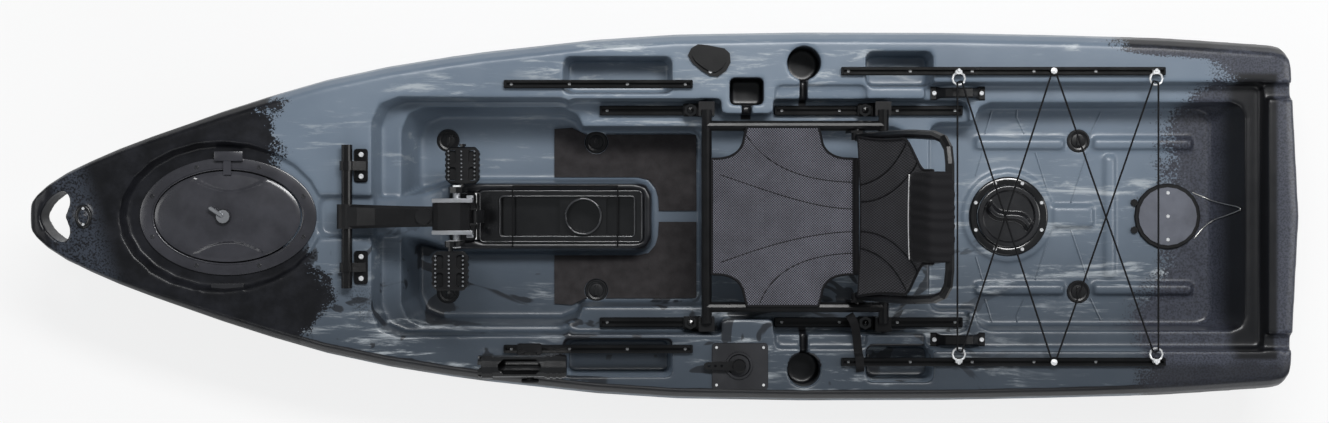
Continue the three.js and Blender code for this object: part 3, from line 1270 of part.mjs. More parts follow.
// The back sling bows aft between its tubes and is laced to their front
function backSling() {
  const rings = [];
  const rows = 9;
  const across = 8;
  for (let i = 0; i <= rows; i += 1) {
    const share = i / rows;
    const z = THREE.MathUtils.lerp(back.slingLow, back.slingTop, share);
    const waist = 1 - 0.1 * Math.sin(share * Math.PI);
    const half = THREE.MathUtils.lerp(back.half, back.shoulder, share) * waist;
    const line = Array.from({ length: across + 1 }, (_, k) => {
      const y = half * ((2 * k) / across - 1);
      const deep = back.bow * (1 - (y / half) ** 2) * (0.3 + 0.7 * Math.sin(share * Math.PI));
      return [y, -back.tube - gap + deep];
    });
    rings.push([
      ...line.map(([y, x]) => new THREE.Vector3(x, y, z)),
      ...line.reverse().map(([y, x]) => new THREE.Vector3(x - back.thick, y, z)),
    ]);
  }
  return leaned(loft(rings));
}

// A soft crowned pad over the top bar of the back
function headPad() {
  const rings = [];
  const rows = 9;
  const middle = (back.padLow + back.padTop) / 2;
  const tall = (back.padTop - back.padLow) / 2;
  for (let i = 0; i <= rows; i += 1) {
    const share = (2 * i) / rows - 1;
    const swell = Math.max(1 - Math.abs(share) ** 4, 0.03) ** 0.5;
    rings.push(Array.from({ length: roundSides }, (_, k) => {
      const angle = (k / roundSides) * Math.PI * 2;
      const c = Math.cos(angle);
      const s = Math.sin(angle);
      const up = Math.sign(s) * Math.abs(s) ** 0.5 * tall * (0.9 + 0.1 * swell);
      const out = Math.sign(c) * Math.abs(c) ** 0.7 * back.padThick * swell;
      return new THREE.Vector3(out - back.padShift, back.padHalf * share, middle + up);
    }));
  }
  return leaned(loft(rings));
}

// Loose end of the seat's strap, hanging over the port gunwale
const strap = { half: 10, thick: 2.2 };
const strapPath = [
  [437, -235.5, 315], [439, -239, 325], [445, -250, 330], [451, -268, 323], [455, -290, 312],
  [458, -312, 304.5], [460, -328, 304.5], [461, -337, 316], [462, -349, 316.5], [463, -362, 316],
  [464, -372, 305],
];

function seatStrap() {
  const points = strapPath.map((p) => new THREE.Vector3(...p));
  const rings = points.map((point, i) => {
    const before = points[Math.max(i - 1, 0)];
    const after = points[Math.min(i + 1, points.length - 1)];
    const along = new THREE.Vector3().subVectors(after, before).normalize();
    const flat = new THREE.Vector3(0, 0, 1).cross(along).normalize();
    const up = new THREE.Vector3().crossVectors(along, flat).normalize();
    return [[-1, -1], [1, -1], [1, 1], [-1, 1]].map(([a, b]) => (
      point.clone().addScaledVector(flat, a * strap.half).addScaledVector(up, (b * strap.thick) / 2)
    ));
  });
  return loft(rings);
}

// Steering: a plate with a dish on the port deck and a lever with three holes
const steer = {
  rect: [108, 243, -416, -304], radius: 8, top: 304.5, x: 173, y: -358, dish: 34, dishTop: 309, boss: 17,
  bossTop: 322, lever: 84, root: 12, tip: 8.5, leverLow: 313, leverTop: 319, hole: 3.5, screwIn: 11, post: 7,
  ease: 1.5, sink: 1, edge: 2, rim: 6, inner: 9, cover: 6, tipIn: 6, bossLow: 310.5, bossEase: 3,
};

function steeringPlate() {
  const { top, dish: wide, dishTop, edge, rim, inner, sink } = steer;
  const plate = slab(steer.rect, steer.radius, deckZ + gap, top, steer.ease);
  const dish = at(lathe([[0, deckZ + sink], [wide, deckZ + sink], [wide, dishTop - edge],
    [wide - edge, dishTop], [wide - rim, dishTop], [wide - inner, top], [0, top]]), steer.x, steer.y, 0);
  const post = disc(steer.x, steer.y, steer.post, top - sink, steer.bossTop - steer.cover, tubeSides);
  const [x0, x1, y0, y1] = grown(steer.rect, -steer.screwIn);
  const screws = [[x0, y0], [x0, y1], [x1, y0], [x1, y1]].map(([x, y]) => (
    screw(x, y, top, bowHatch.rivet, bowHatch.rivetHeight)
  ));
  return join(plate, dish, post, ...screws);
}

function steeringLever() {
  const { lever, tip, tipIn } = steer;
  const outline = [[0, -steer.root], [tipIn - lever, -tip], [-lever, -tip * 0.6], [-lever, tip * 0.6],
    [tipIn - lever, tip], [0, steer.root]];
  const holes = [0.5, 0.68, 0.86].map((share) => (
    oval(-lever * share, 0, steer.hole, steer.hole, smallSides)
  ));
  const arm = prism(outline, steer.leverLow, steer.leverTop, holes);
  const boss = slab([-steer.boss, steer.boss, -steer.boss, steer.boss], steer.boss, steer.bossLow,
    steer.bossTop, steer.bossEase, latch.steps);
  const bore = disc(0, 0, fit(steer.post, tubeSides), -over, steer.bossTop - steer.cover + gap, tubeSides);
  return at(carve(join(arm, boss), bore), steer.x, steer.y, 0);
}

// The rudder: a cover plate in the hold, a turning stock under the stern and a folding blade
const rudderCover = {
  radius: 72, ring: 82, ease: 2, top: 157, discTop: 160, lug: 9, lugX: 82, lugY: 34, screwY: 58,
};

function rudderPlate() {
  const low = tankFloorZ + gap;
  const { radius, ring: wide, ease } = rudderCover;
  const ring = lathe([[0, low], [wide, low], [wide, rudderCover.top - ease], [wide - ease, rudderCover.top],
    [0, rudderCover.top]]);
  const top = lathe([[0, low], [radius, low], [radius, rudderCover.discTop], [0, rudderCover.discTop]]);
  const lugs = [-1, 1].map((way) => disc(-rudderCover.lugX, way * rudderCover.lugY, rudderCover.lug, low,
    rudderCover.top, smallSides));
  const screws = [-1, 0, 1].map((way) => (
    screw(0, way * rudderCover.screwY, rudderCover.discTop, rudderCover.lug * 0.6, bowHatch.rivetHeight)
  ));
  const socket = disc(0, 0, fit(rudder.shaftRadius, tubeSides), -over, rudderCover.top - ease, tubeSides);
  return at(carve(join(ring, top, ...lugs, ...screws), socket), rudder.x, 0, 0);
}

const rudderStock = {
  headTop: 76, headLow: 18, halfX: 20, fork: 13, slot: 4.6, slotTop: 68, pin: 4.5, pinZ: 44, pinIn: 2, shaftLow: 72,
  shaftTop: 154, round: 6, ease: 3,
};

function rudderStockPiece() {
  const { halfX, fork, slot: half, pinIn, pinZ } = rudderStock;
  const shaft = disc(0, 0, rudder.shaftRadius, rudderStock.shaftLow, rudderStock.shaftTop, tubeSides);
  const head = slab([-halfX, halfX, -fork, fork], rudderStock.round, rudderStock.headLow, rudderStock.headTop,
    rudderStock.ease);
  const slot = prism([[-over, -half], [over, -half], [over, half], [-over, half]], -over, rudderStock.slotTop);
  const pin = crossRod(0, pinZ, pinIn - fork, fork - pinIn, rudderStock.pin, smallSides);
  return at(join(carve(join(shaft, head), slot), pin), rudder.x, 0, 0);
}

const rudderBlade = { thick: 3.6 };
const bladeOutline = [
  [-16, 44], [-11, 32], [4, 22], [60, 14], [202, 10], [226, 22], [232, 44], [222, 68], [192, 76], [60, 72],
  [0, 61], [-11, 56],
];

function rudderBladePiece() {
  const plate = sidePrism(bladeOutline, -rudderBlade.thick, rudderBlade.thick);
  const bore = crossRod(0, rudderStock.pinZ, -over, over, fit(rudderStock.pin, smallSides), smallSides);
  return at(carve(plate, bore), rudder.x, 0, 0);
}

// Lifting lines of the rudder, up the sloping back wall of the hold to one eye
const liftLine = { radius: 1.3, steps: 24 };
const liftPoints = [
  [1303, 59, 152.3], [1330, 48, 152.4], [1350, 38, 166], [1372, 30, 201], [1390, 24, 230],
  [1396, 18, 241], [1390, 12, 230], [1372, 2, 201], [1350, -10, 166], [1330, -28, 152.4],
  [1307, -55, 152.3],
];

function liftLinePiece() {
  const curve = new THREE.CatmullRomCurve3(liftPoints.map((p) => new THREE.Vector3(...p)));
  return tube(curve.getPoints(liftLine.steps), liftLine.radius, cordSides);
}

// The clip-on rod holder on the port track
const rodHolder = {
  x: -326, y: -354, z: 381, outer: 26, inner: 21, x0: -446, x1: -238, collarX: -289, collar: 30,
  hingeZ: 345, pin: 5, reach: 440, ribFrom: 5, ribPitch: 14, ribWide: 7, hubIn: 4, hubOut: 2, crownFrom: 10,
  crownTo: 34, mouthFrom: 48, mouthIn: 8, mouthSide: 3, mouthRound: 12, teeth: 6, tooth: 8, toothHalf: 5,
  toothIn: 15, toothOut: 40,
};
// The foot on the rail, its stand and the stud in the rail's slot
const rodFoot = {
  bow: 34, aft: 26, half: 14, round: 5, top: 322, ease: 3, screwX: 26, screwRise: 2, neck: 2.6, neckLow: 305,
  sink: 1, standOut: -16, standIn: -6, webOut: -28,
};
const standOutline = [[-14, 320], [14, 320], [12, 351], [0, 357], [-12, 351]];
const webOutline = [[-14, 363], [-12, 341], [0, 334], [12, 341], [14, 363]];

function rodBase() {
  const z0 = deckZ + railSection.high + 2 * gap;
  const { x, hingeZ, reach } = rodHolder;
  const y = -foreRail.y;
  const foot = slab([x - rodFoot.bow, x + rodFoot.aft, y - rodFoot.half, y + rodFoot.half], rodFoot.round, z0,
    rodFoot.top, rodFoot.ease);
  const bolt = screw(x - rodFoot.screwX, y, rodFoot.top, bowHatch.rivet, rodFoot.screwRise);
  const stand = sidePrism(standOutline.map(([aft, z]) => [x + aft, z]), y + rodFoot.standOut,
    y + rodFoot.standIn);
  const neck = disc(x, y, rodFoot.neck, rodFoot.neckLow, z0 + rodFoot.sink, smallSides);
  const bore = crossRod(x, hingeZ, -reach, 0, fit(rodHolder.pin, smallSides), smallSides);
  return carve(join(foot, stand, neck, bolt), bore);
}

// An open-topped tube with a ribbed collar and a toothed front end
function rodCradle() {
  const {
    x, y, z, outer, inner, x0, x1, collarX, collar, hingeZ, ribPitch, tooth, toothHalf, mouthSide, teeth,
  } = rodHolder;
  const shell = lengthRod(y, z, x0, x1, outer, tubeSides);
  const ribs = [0, 1, 2].map((i) => {
    const start = collarX + rodHolder.ribFrom + i * ribPitch;
    return lengthRod(y, z, start, start + rodHolder.ribWide, collar, tubeSides);
  });
  const hub = lengthRod(y, z, collarX, x1 - rodHolder.hubIn, outer + rodHolder.hubOut, tubeSides);
  const crown = lengthRod(y, z, x0 + rodHolder.crownFrom, x0 + rodHolder.crownTo, collar, tubeSides);
  const web = sidePrism(webOutline.map(([aft, up]) => [x + aft, up]), rodFoot.webOut - foreRail.y,
    rodFoot.standOut - foreRail.y - gap);
  const bore = lengthRod(y, z, x0 - over, x1 + over, inner, tubeSides);
  const half = inner - mouthSide;
  const rect = [x0 + rodHolder.mouthFrom, collarX - rodHolder.mouthIn, y - half, y + half];
  const mouth = prism(rounded(rect, rodHolder.mouthRound, innerSteps), z, z + over);
  const notches = Array.from({ length: teeth }, (_, i) => {
    const angle = (i / teeth) * Math.PI * 2;
    const notch = prism([[x0 - over, -toothHalf], [x0 + tooth, -toothHalf], [x0 + tooth, toothHalf],
      [x0 - over, toothHalf]], rodHolder.toothIn, rodHolder.toothOut);
    return at(closed(notch.rotateX(angle)), 0, y, z);
  });
  const pinBore = crossRod(x, hingeZ, -rodHolder.reach, 0, fit(rodHolder.pin, smallSides), smallSides);
  return carve(join(shell, ...ribs, hub, crown, web), bore, mouth, ...notches, pinBore);
}

const wing = {
  studOut: -388, studIn: -325, headOut: -390, headIn: -374, head: 9, half: 21, out: -396, in: -386, round: 4,
  rise: 6, ease: 3,
};

function rodKnob() {
  const { x, hingeZ, pin } = rodHolder;
  const stud = crossRod(x, hingeZ, wing.studOut, wing.studIn, pin, smallSides);
  const head = crossRod(x, hingeZ, wing.headOut, wing.headIn, wing.head, smallSides);
  const bar = slab([x - wing.half, x + wing.half, wing.out, wing.in], wing.round, hingeZ - wing.rise,
    hingeZ + wing.rise, wing.ease);
  return join(stud, head, bar);
}

// The flush rod holder: a capped funnel let into the starboard gunwale
const flush = {
  top: 306, capLow: 305, capTop: 312, capX: 0.78, capY: 0.74, tubeRadius: 22.5, tubeTop: 304, lowZ: 178,
  rivet: 5, screws: [[128, 392], [104, 348]],
};
const flushOutline = [
  [50, 388], [58, 404], [74, 414], [96, 412], [138, 404], [151, 392], [153, 370], [142, 350], [122, 336],
  [104, 338], [84, 350], [60, 370],
];

function flushHolderPiece() {
  const plate = prism(flushOutline, deckZ + gap, flush.top);
  const { x: midX, y: midY } = flushHolder;
  const cap = prism(flushOutline.map(([x, y]) => (
    [midX + (x - midX) * flush.capX, midY + (y - midY) * flush.capY]
  )), flush.capLow, flush.capTop);
  const screws = flush.screws.map(([x, y]) => screw(x, y, flush.top, flush.rivet, bowHatch.rivetHeight));
  return join(plate, cap, ...screws, flushHole(flush.tubeRadius, flush.tubeTop, flush.lowZ));
}

// A moulded grip that bridges between two screwed feet
const grip = {
  x0: 640, x1: 772, y: 299, half: 17, footZ: ledgeZ + gap, foot: 5, rise: 26, thick: 11, low: 1.5, edge: 3,
  rivet: 5,
};

function carryHandle() {
  const middle = (grip.x0 + grip.x1) / 2;
  const reach = (grip.x1 - grip.x0) / 2;
  const rings = [-1, -0.8, -0.66, -0.5, -0.25, 0, 0.25, 0.5, 0.66, 0.8, 1].map((share) => {
    const high = Math.abs(share) > 0.7 ? 0 : grip.rise * Math.min(1, (0.72 - Math.abs(share)) * 3.2);
    const thick = Math.abs(share) > 0.7 ? grip.foot : grip.thick;
    const half = Math.abs(share) > 0.7 ? grip.half : grip.half * 0.72;
    const z = grip.footZ + high;
    const { low, edge } = grip;
    const top = z + thick;
    return [[-half, z + low], [low - half, z], [half - low, z], [half, z + low], [half, top - edge],
      [half - edge, top], [edge - half, top], [-half, top - edge]].map(([y, height]) => (
      new THREE.Vector3(middle + reach * share, grip.y + y, height)
    ));
  });
  const screws = [-0.88, 0.88].map((share) => (
    screw(middle + reach * share, grip.y, grip.footZ + grip.foot, grip.rivet, bowHatch.rivetHeight)
  ));
  return join(loft(rings), ...screws);
}

function addHullPieces() {
  add('hull', buildHull(), 'hull');
  add('bow_hatch_ring', hatchRing(), 'blackPlastic');
  add('bow_hatch_lid', hatchLid(), 'blackPlastic');
  add('bow_hatch_latch', hatchLatch(), 'silver');
  add('round_hatch_ring', roundRing(), 'blackPlastic');
  add('round_hatch_lid', roundCover(), 'glossBlack');
  add('foot_mat_starboard', footMat(), 'foam');
  add('foot_mat_port', mirrored(footMat()), 'foam');
}

function addDrive() {
  add('pivot_bar', crossRod(pivot.x, pivot.z, -pivot.halfY, pivot.halfY, pivot.radius, barSides), 'blackMetal');
  add('bar_clamp_starboard', barClampPiece(), 'blackMetal');
  add('bar_clamp_port', mirrored(barClampPiece()), 'blackMetal');
  add('drive_arm', driveArm(), 'blackPlastic');
  add('gear_housing', gearHousing(), 'silver');
  add('drive_latch', driveLatch(), 'blackPlastic');
  add('crank_axle', crankAxle(), 'silver');
  add('crank_starboard', crankArm(), 'blackMetal');
  add('crank_port', at(closed(mirrored(crankArm()).clone().translate(0, 0, -crank.z).rotateY(Math.PI)
    .translate(2 * crank.x, 0, crank.z)), 0, 0, 0), 'blackMetal');
  add('pedal_starboard', pedalBody(crank.z - crank.radius), 'blackPlastic');
  add('pedal_port', mirrored(pedalBody(crank.z + crank.radius)), 'blackPlastic');
  add('leg_bracket', legBracket(), 'silver');
  add('drive_leg', driveLeg(), 'blackPlastic');
  add('propeller', propellerPiece(), 'blackPlastic');
  add('well_tray', wellTray(), 'glossBlack');
  add('tray_cord', trayCordPiece(), 'cord');
}

function addRails() {
  const fore = rail(foreRail.x0, foreRail.x1, foreRail.y, deckZ, outerHalf);
  const front = rail(seatRailFront.x0, seatRailFront.x1, seatRailFront.y, shelfZ, innerHalf);
  const rear = rail(seatRailRear.x0, seatRailRear.x1, seatRailRear.y, shelfZ, innerHalf);
  const named = [
    ['rail_fore', fore], ['rail_aft', aftRailPiece()], ['seat_rail_front', front], ['seat_rail_rear', rear],
  ];
  for (const [name, geometry] of named) {
    add(`${name}_starboard`, geometry, 'blackMetal');
    add(`${name}_port`, mirrored(geometry), 'blackMetal');
  }
  add('carry_handle_starboard', carryHandle(), 'blackPlastic');
  add('carry_handle_port', mirrored(carryHandle()), 'blackPlastic');
  add('cargo_cord', cargoCord(), 'cord');
}

function addSeat() {
  add('seat_frame', seatFrame(), 'blackMetal');
  add('seat_sling', seatSling(), 'mesh');
  add('back_frame', backFrame(), 'blackMetal');
  add('back_sling', backSling(), 'mesh');
  add('head_pad', headPad(), 'mesh');
  add('seat_strap', seatStrap(), 'cord');
  for (const [place, x] of [['front', seat.frontX], ['rear', seat.rearX]]) {
    const piece = railClamp(x);
    const knob = clampKnob(x - starKnob.x, starKnob.y);
    add(`clamp_${place}_starboard`, piece, 'blackPlastic');
    add(`clamp_${place}_port`, mirrored(piece), 'blackPlastic');
    add(`knob_${place}_starboard`, knob, 'glossBlack');
    add(`knob_${place}_port`, mirrored(knob), 'glossBlack');
  }
}

function addFittings() {
  add('steering_plate', steeringPlate(), 'blackPlastic');
  add('steering_lever', steeringLever(), 'blackPlastic');
  add('rudder_plate', rudderPlate(), 'greyPlastic');
  add('rudder_stock', rudderStockPiece(), 'silver');
  add('rudder_blade', rudderBladePiece(), 'blackPlastic');
  add('rudder_line', liftLinePiece(), 'paleCord');
  add('rod_holder_base', rodBase(), 'blackPlastic');
  add('rod_holder_cradle', rodCradle(), 'glossBlack');
  add('rod_holder_knob', rodKnob(), 'blackPlastic');
  add('flush_rod_holder', flushHolderPiece(), 'blackPlastic');
}

addHullPieces();
addDrive();
addRails();
addSeat();
addFittings();

export default group;
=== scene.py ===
from collections import deque
from math import copysign, cos, exp, hypot, pi, sin
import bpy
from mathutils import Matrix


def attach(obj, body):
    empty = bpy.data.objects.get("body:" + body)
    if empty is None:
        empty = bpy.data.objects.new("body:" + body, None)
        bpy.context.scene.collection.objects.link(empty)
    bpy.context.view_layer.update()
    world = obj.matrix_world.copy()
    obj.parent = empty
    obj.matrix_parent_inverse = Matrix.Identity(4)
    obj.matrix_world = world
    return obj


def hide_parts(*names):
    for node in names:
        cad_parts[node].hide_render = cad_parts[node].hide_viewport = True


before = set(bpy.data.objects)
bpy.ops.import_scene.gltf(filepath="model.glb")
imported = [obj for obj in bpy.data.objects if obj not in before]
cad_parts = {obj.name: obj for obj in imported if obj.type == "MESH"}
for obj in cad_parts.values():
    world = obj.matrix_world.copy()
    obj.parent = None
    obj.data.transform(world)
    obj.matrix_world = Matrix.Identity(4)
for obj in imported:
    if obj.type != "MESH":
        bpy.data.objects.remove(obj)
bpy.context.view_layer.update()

from types import SimpleNamespace as Sizes

import bmesh
import bpy
from mathutils import Vector
from mathutils.bvhtree import BVHTree

# Metres. -X is the bow, +Y is starboard, +Z is up, and z 0 is the ground under the keel.
scene = bpy.context.scene
scene.view_settings.view_transform = "Standard"

DECK = 0.300
FOOT_FLOOR = 0.090
TANK_FLOOR = 0.150
SHELF = 0.225
UP = Vector((0, 0, 1))
WAYS = (1, -1)
SIDES = (("starboard", 1), ("port", -1))


def lerp(low, high, share):
    return low + (high - low) * share


def clamped(value):
    return min(max(value, 0), 1)


def eased(value):
    """A smooth step of a value from 0 to 1."""
    share = clamped(value)
    return share * share * (3 - 2 * share)


def turns(count, start=0.0):
    """The angles of a full turn in equal parts."""
    return [2 * pi * (i + start) / count for i in range(count)]


# Camera and lights

PHOTO_WIDTH = 1329
METRES_PER_PIXEL = 0.002405
CAMERA_ABOVE_DECK = 4.8
CAMERA_AIM = (-0.006, 0.012)
SENSOR = 36.0
LAMP_AIM = Vector((0, 0, 0.2))
# Place, size and power of each soft box
SOFT_BOXES = {
    "key": ((0.7, 2.3, 4.5), (3.2, 0.8), 185),
    "fill_port": ((-0.4, -3.8, 2.6), (4.5, 1.2), 34),
    "fill_bow": ((-4.2, 0.4, 2.6), (1.4, 2.4), 26),
    "fill_stern": ((4.2, 0.4, 2.6), (1.4, 2.4), 40),
}
SKY = Sizes(color=(0.9, 0.95, 1.0, 1), strength=0.20)


def overhead_camera():
    """A camera straight above the kayak, level with the photograph's frame."""
    data = bpy.data.cameras.new("photo_camera")
    data.sensor_width = SENSOR
    data.lens = SENSOR * CAMERA_ABOVE_DECK / (PHOTO_WIDTH * METRES_PER_PIXEL)
    camera = bpy.data.objects.new("photo_camera", data)
    camera.location = (*CAMERA_AIM, DECK + CAMERA_ABOVE_DECK)
    scene.collection.objects.link(camera)
    scene.camera = camera


def soft_box(name, place, size, power):
    data = bpy.data.lights.new(name, "AREA")
    data.shape = "RECTANGLE"
    data.size, data.size_y = size
    data.energy = power
    lamp = bpy.data.objects.new(name, data)
    lamp.location = place
    lamp.rotation_euler = (LAMP_AIM - Vector(place)).to_track_quat("-Z", "Y").to_euler()
    scene.collection.objects.link(lamp)


overhead_camera()
for name, (place, size, power) in SOFT_BOXES.items():
    soft_box(name, place, size, power)
scene.world = bpy.data.worlds.new("studio")
scene.world.use_nodes = True
sky = scene.world.node_tree.nodes["Background"].inputs
sky["Color"].default_value = SKY.color
sky["Strength"].default_value = SKY.strength


# Materials

LOOKS = {}


class Look:
    """A Principled material built node by node, in the object's own metres, and kept in LOOKS."""

    def __init__(self, name, roughness=0.5, metallic=0.0, specular=0.5):
        self.material = LOOKS[name] = bpy.data.materials.new(name)
        self.material.use_nodes = True
        self.tree = self.material.node_tree
        self.shader = self.tree.nodes["Principled BSDF"]
        self.set("Roughness", roughness)
        self.set("Metallic", metallic)
        self.set("Specular IOR Level", specular)
        self.place = self.node("ShaderNodeTexCoord").outputs["Object"]

    def feed(self, target, value):
        """Links a socket to an input, or sets the input to a plain value."""
        if isinstance(value, bpy.types.NodeSocket):
            self.tree.links.new(value, target)
        else:
            target.default_value = value

    def set(self, name, value):
        self.feed(self.shader.inputs[name], value)

    def node(self, kind, settings=None, numbered=(), **named):
        """A node with its settings, its first inputs in order, and its inputs by name."""
        made = self.tree.nodes.new(kind)
        for name, value in (settings or {}).items():
            setattr(made, name, value)
        for key, value in [*enumerate(numbered), *named.items()]:
            self.feed(made.inputs[key], value)
        return made

    def math(self, operation, *values):
        return self.node("ShaderNodeMath", {"operation": operation}, values).outputs[0]

    def chain(self, operation, first, others):
        """The first value with each of the others brought in by one operation."""
        for other in others:
            first = self.math(operation, first, other)
        return first

    def times(self, first, *others):
        return self.chain("MULTIPLY", first, others)

    def plus(self, first, *others):
        return self.chain("ADD", first, others)

    def minus(self, first, *others):
        return self.chain("SUBTRACT", first, others)

    def most(self, first, *others):
        return self.chain("MAXIMUM", first, others)

    def scaled(self, value, scale, shift):
        return self.math("MULTIPLY_ADD", value, scale, shift)

    def squared(self, value):
        return self.math("POWER", value, 2.0)

    def hump(self, value, centre, sharpness, height):
        """A bell curve round a centre."""
        square = self.squared(self.times(self.minus(value, centre), sharpness))
        return self.times(self.math("EXPONENT", self.times(square, -1.0)), height)

    def step(self, value, low, high, out0=0.0, out1=1.0):
        """A smooth step from out0 to out1 as the value goes from low to high."""
        smooth = {"interpolation_type": "SMOOTHSTEP"}
        return self.node("ShaderNodeMapRange", smooth, (value, low, high, out0, out1)).outputs["Result"]

    def between(self, value, low, high, soft=0.0015):
        """1 from low to high and 0 outside, with soft ends."""
        above, below = self.step(value, low - soft, low + soft), self.step(value, high + soft, high - soft)
        return self.times(above, below)

    def stretched(self, scale, turn=(0, 0, 0)):
        return self.node("ShaderNodeMapping", Vector=self.place, Scale=scale, Rotation=turn).outputs[0]

    def noise(self, scale, detail=3.0, rough=0.5, at=None, distortion=0.0):
        made = self.node("ShaderNodeTexNoise", Vector=at or self.place, Scale=scale, Detail=detail,
                         Roughness=rough, Distortion=distortion)
        return made.outputs["Fac"]

    def mix(self, factor, first, second):
        """The first colour where the factor is 0 and the second where it is 1."""
        made = self.node("ShaderNodeMix", {"data_type": "RGBA"}, (factor,))
        for key, color in ((6, first), (7, second)):
            self.feed(made.inputs[key], (*color, 1.0) if isinstance(color, tuple) else color)
        return made.outputs[2]

    def mottled(self, dark, light, *grain):
        """Cloudy patches of two colours."""
        return self.mix(self.step(self.noise(*grain), 0.3, 0.7), dark, light)

    def bump(self, height, strength, distance):
        made = self.node("ShaderNodeBump", Height=height, Strength=strength, Distance=distance)
        self.set("Normal", made.outputs["Normal"])

    def axes(self, vector):
        return self.node("ShaderNodeSeparateXYZ", Vector=vector).outputs


def shade(color, share, more=0.0):
    """The colour made darker or lighter by a share."""
    return tuple(min(c * share + more, 1) for c in color)


def satin(name, color, roughness, grain=900.0, strength=0.12, metallic=0.0, specular=0.5):
    """Moulded or coated material: fine grain, slight mottling, and duller and brighter patches."""
    look = Look(name, roughness, metallic, specular)
    look.set("Base Color", look.mottled(shade(color, 0.75), shade(color, 1.25, 0.004), 9.0, 5.0, 0.6))
    look.set("Roughness", look.scaled(look.noise(26.0, 4.0), 0.16, roughness - 0.08))
    look.bump(look.noise(grain, 2.0), strength, 0.0006)


HULL_COLORS = {
    "grey": ((0.136, 0.176, 0.228), (0.178, 0.224, 0.280)),
    # Painted shade: the darker blue-grey that the upward faces take on towards port
    "painted_port_shade": (0.047, 0.060, 0.077),
    "brushed": (0.47, 0.51, 0.54),
    # Painted shade on the port-facing slope along the top of the gunwale
    "port_slope_shade": (0.010, 0.0105, 0.013),
    "swirl": (0.013, 0.0145, 0.018),
    "freckle": (0.012, 0.013, 0.016),
    "bow": ((0.0060, 0.0063, 0.0078), (0.017, 0.0178, 0.022)),
    "patch": (0.042, 0.050, 0.066),
    "stern": ((0.028, 0.030, 0.040), (0.058, 0.064, 0.086)),
    # Black of the stern's rims, and painted shade on the well's sloping aft wall
    "stern_black_and_shade": (0.0075, 0.0078, 0.0095),
    # Painted shade deep in the cup holders, the pocket and their slots
    "hollow": (0.0085, 0.0090, 0.0110),
}
# Where each soft edge starts and ends, in metres, and the values before and after it if not 0 and 1
HULL_EDGES = {
    "bow": (-0.944, -0.955), "stern": (1.215, 1.250), "painted_port_shade": (-0.40, 0.20), "patch": (-1.30, -1.36),
    "early_starboard": (0.372, 0.400, 0.0, -0.17), "early_port": (-0.10, -0.32, 0.0, -0.09),
    "rim_starboard": (0.385, 0.415), "rim_port": (-0.340, -0.370, 0.0, 0.65),
}
# The soft edges of each region: an axis, where the edge starts and where it ends
HULL_REGIONS = {
    # The well's sloping aft wall, painted dark as shade
    "slope": (("x", 1.345, 1.385), ("x", 1.474, 1.462), ("out", 0.352, 0.338)),
    "tray_seat": (("out", 0.086, 0.078), ("z", 0.118, 0.135), ("x", -0.545, -0.53), ("x", -0.032, -0.042)),
    "flank": (("upward", 0.55, 0.25), ("out", 0.30, 0.34)),
    "port_slope_shade": (("z", 0.266, 0.282), ("y", -0.18, -0.24)),
    "swirl": (("y", 0.02, -0.10), ("x", 0.95, 0.60)),
    "freckle": (("y", -0.10, -0.22), ("x", -0.60, -0.80)),
    "fore": (("x", -1.475, -1.45),),
    "aft": (("x", 0.0, 0.1),),
    "hollow": (("z", 0.294, 0.284),),
}
BOW_BULGE = {"centre": -0.19, "sharpness": 8.5, "height": 0.16}
STERN_TONGUE = {"centre": 0.345, "sharpness": 15.0, "height": 0.10}
# The cup holder of each side with its slot, and the pocket to starboard with its own, all darkened inside by
# painted shade: x and y, from and to
CUP = {"x": 0.330, "out": 0.370, "radius": 0.041, "soft": 0.0015}
CUP_SLOT = (0.321, 0.339, 0.262, 0.355)
POCKETS = ((0.151, 0.233, 0.268, 0.335), (0.180, 0.204, 0.236, 0.290))


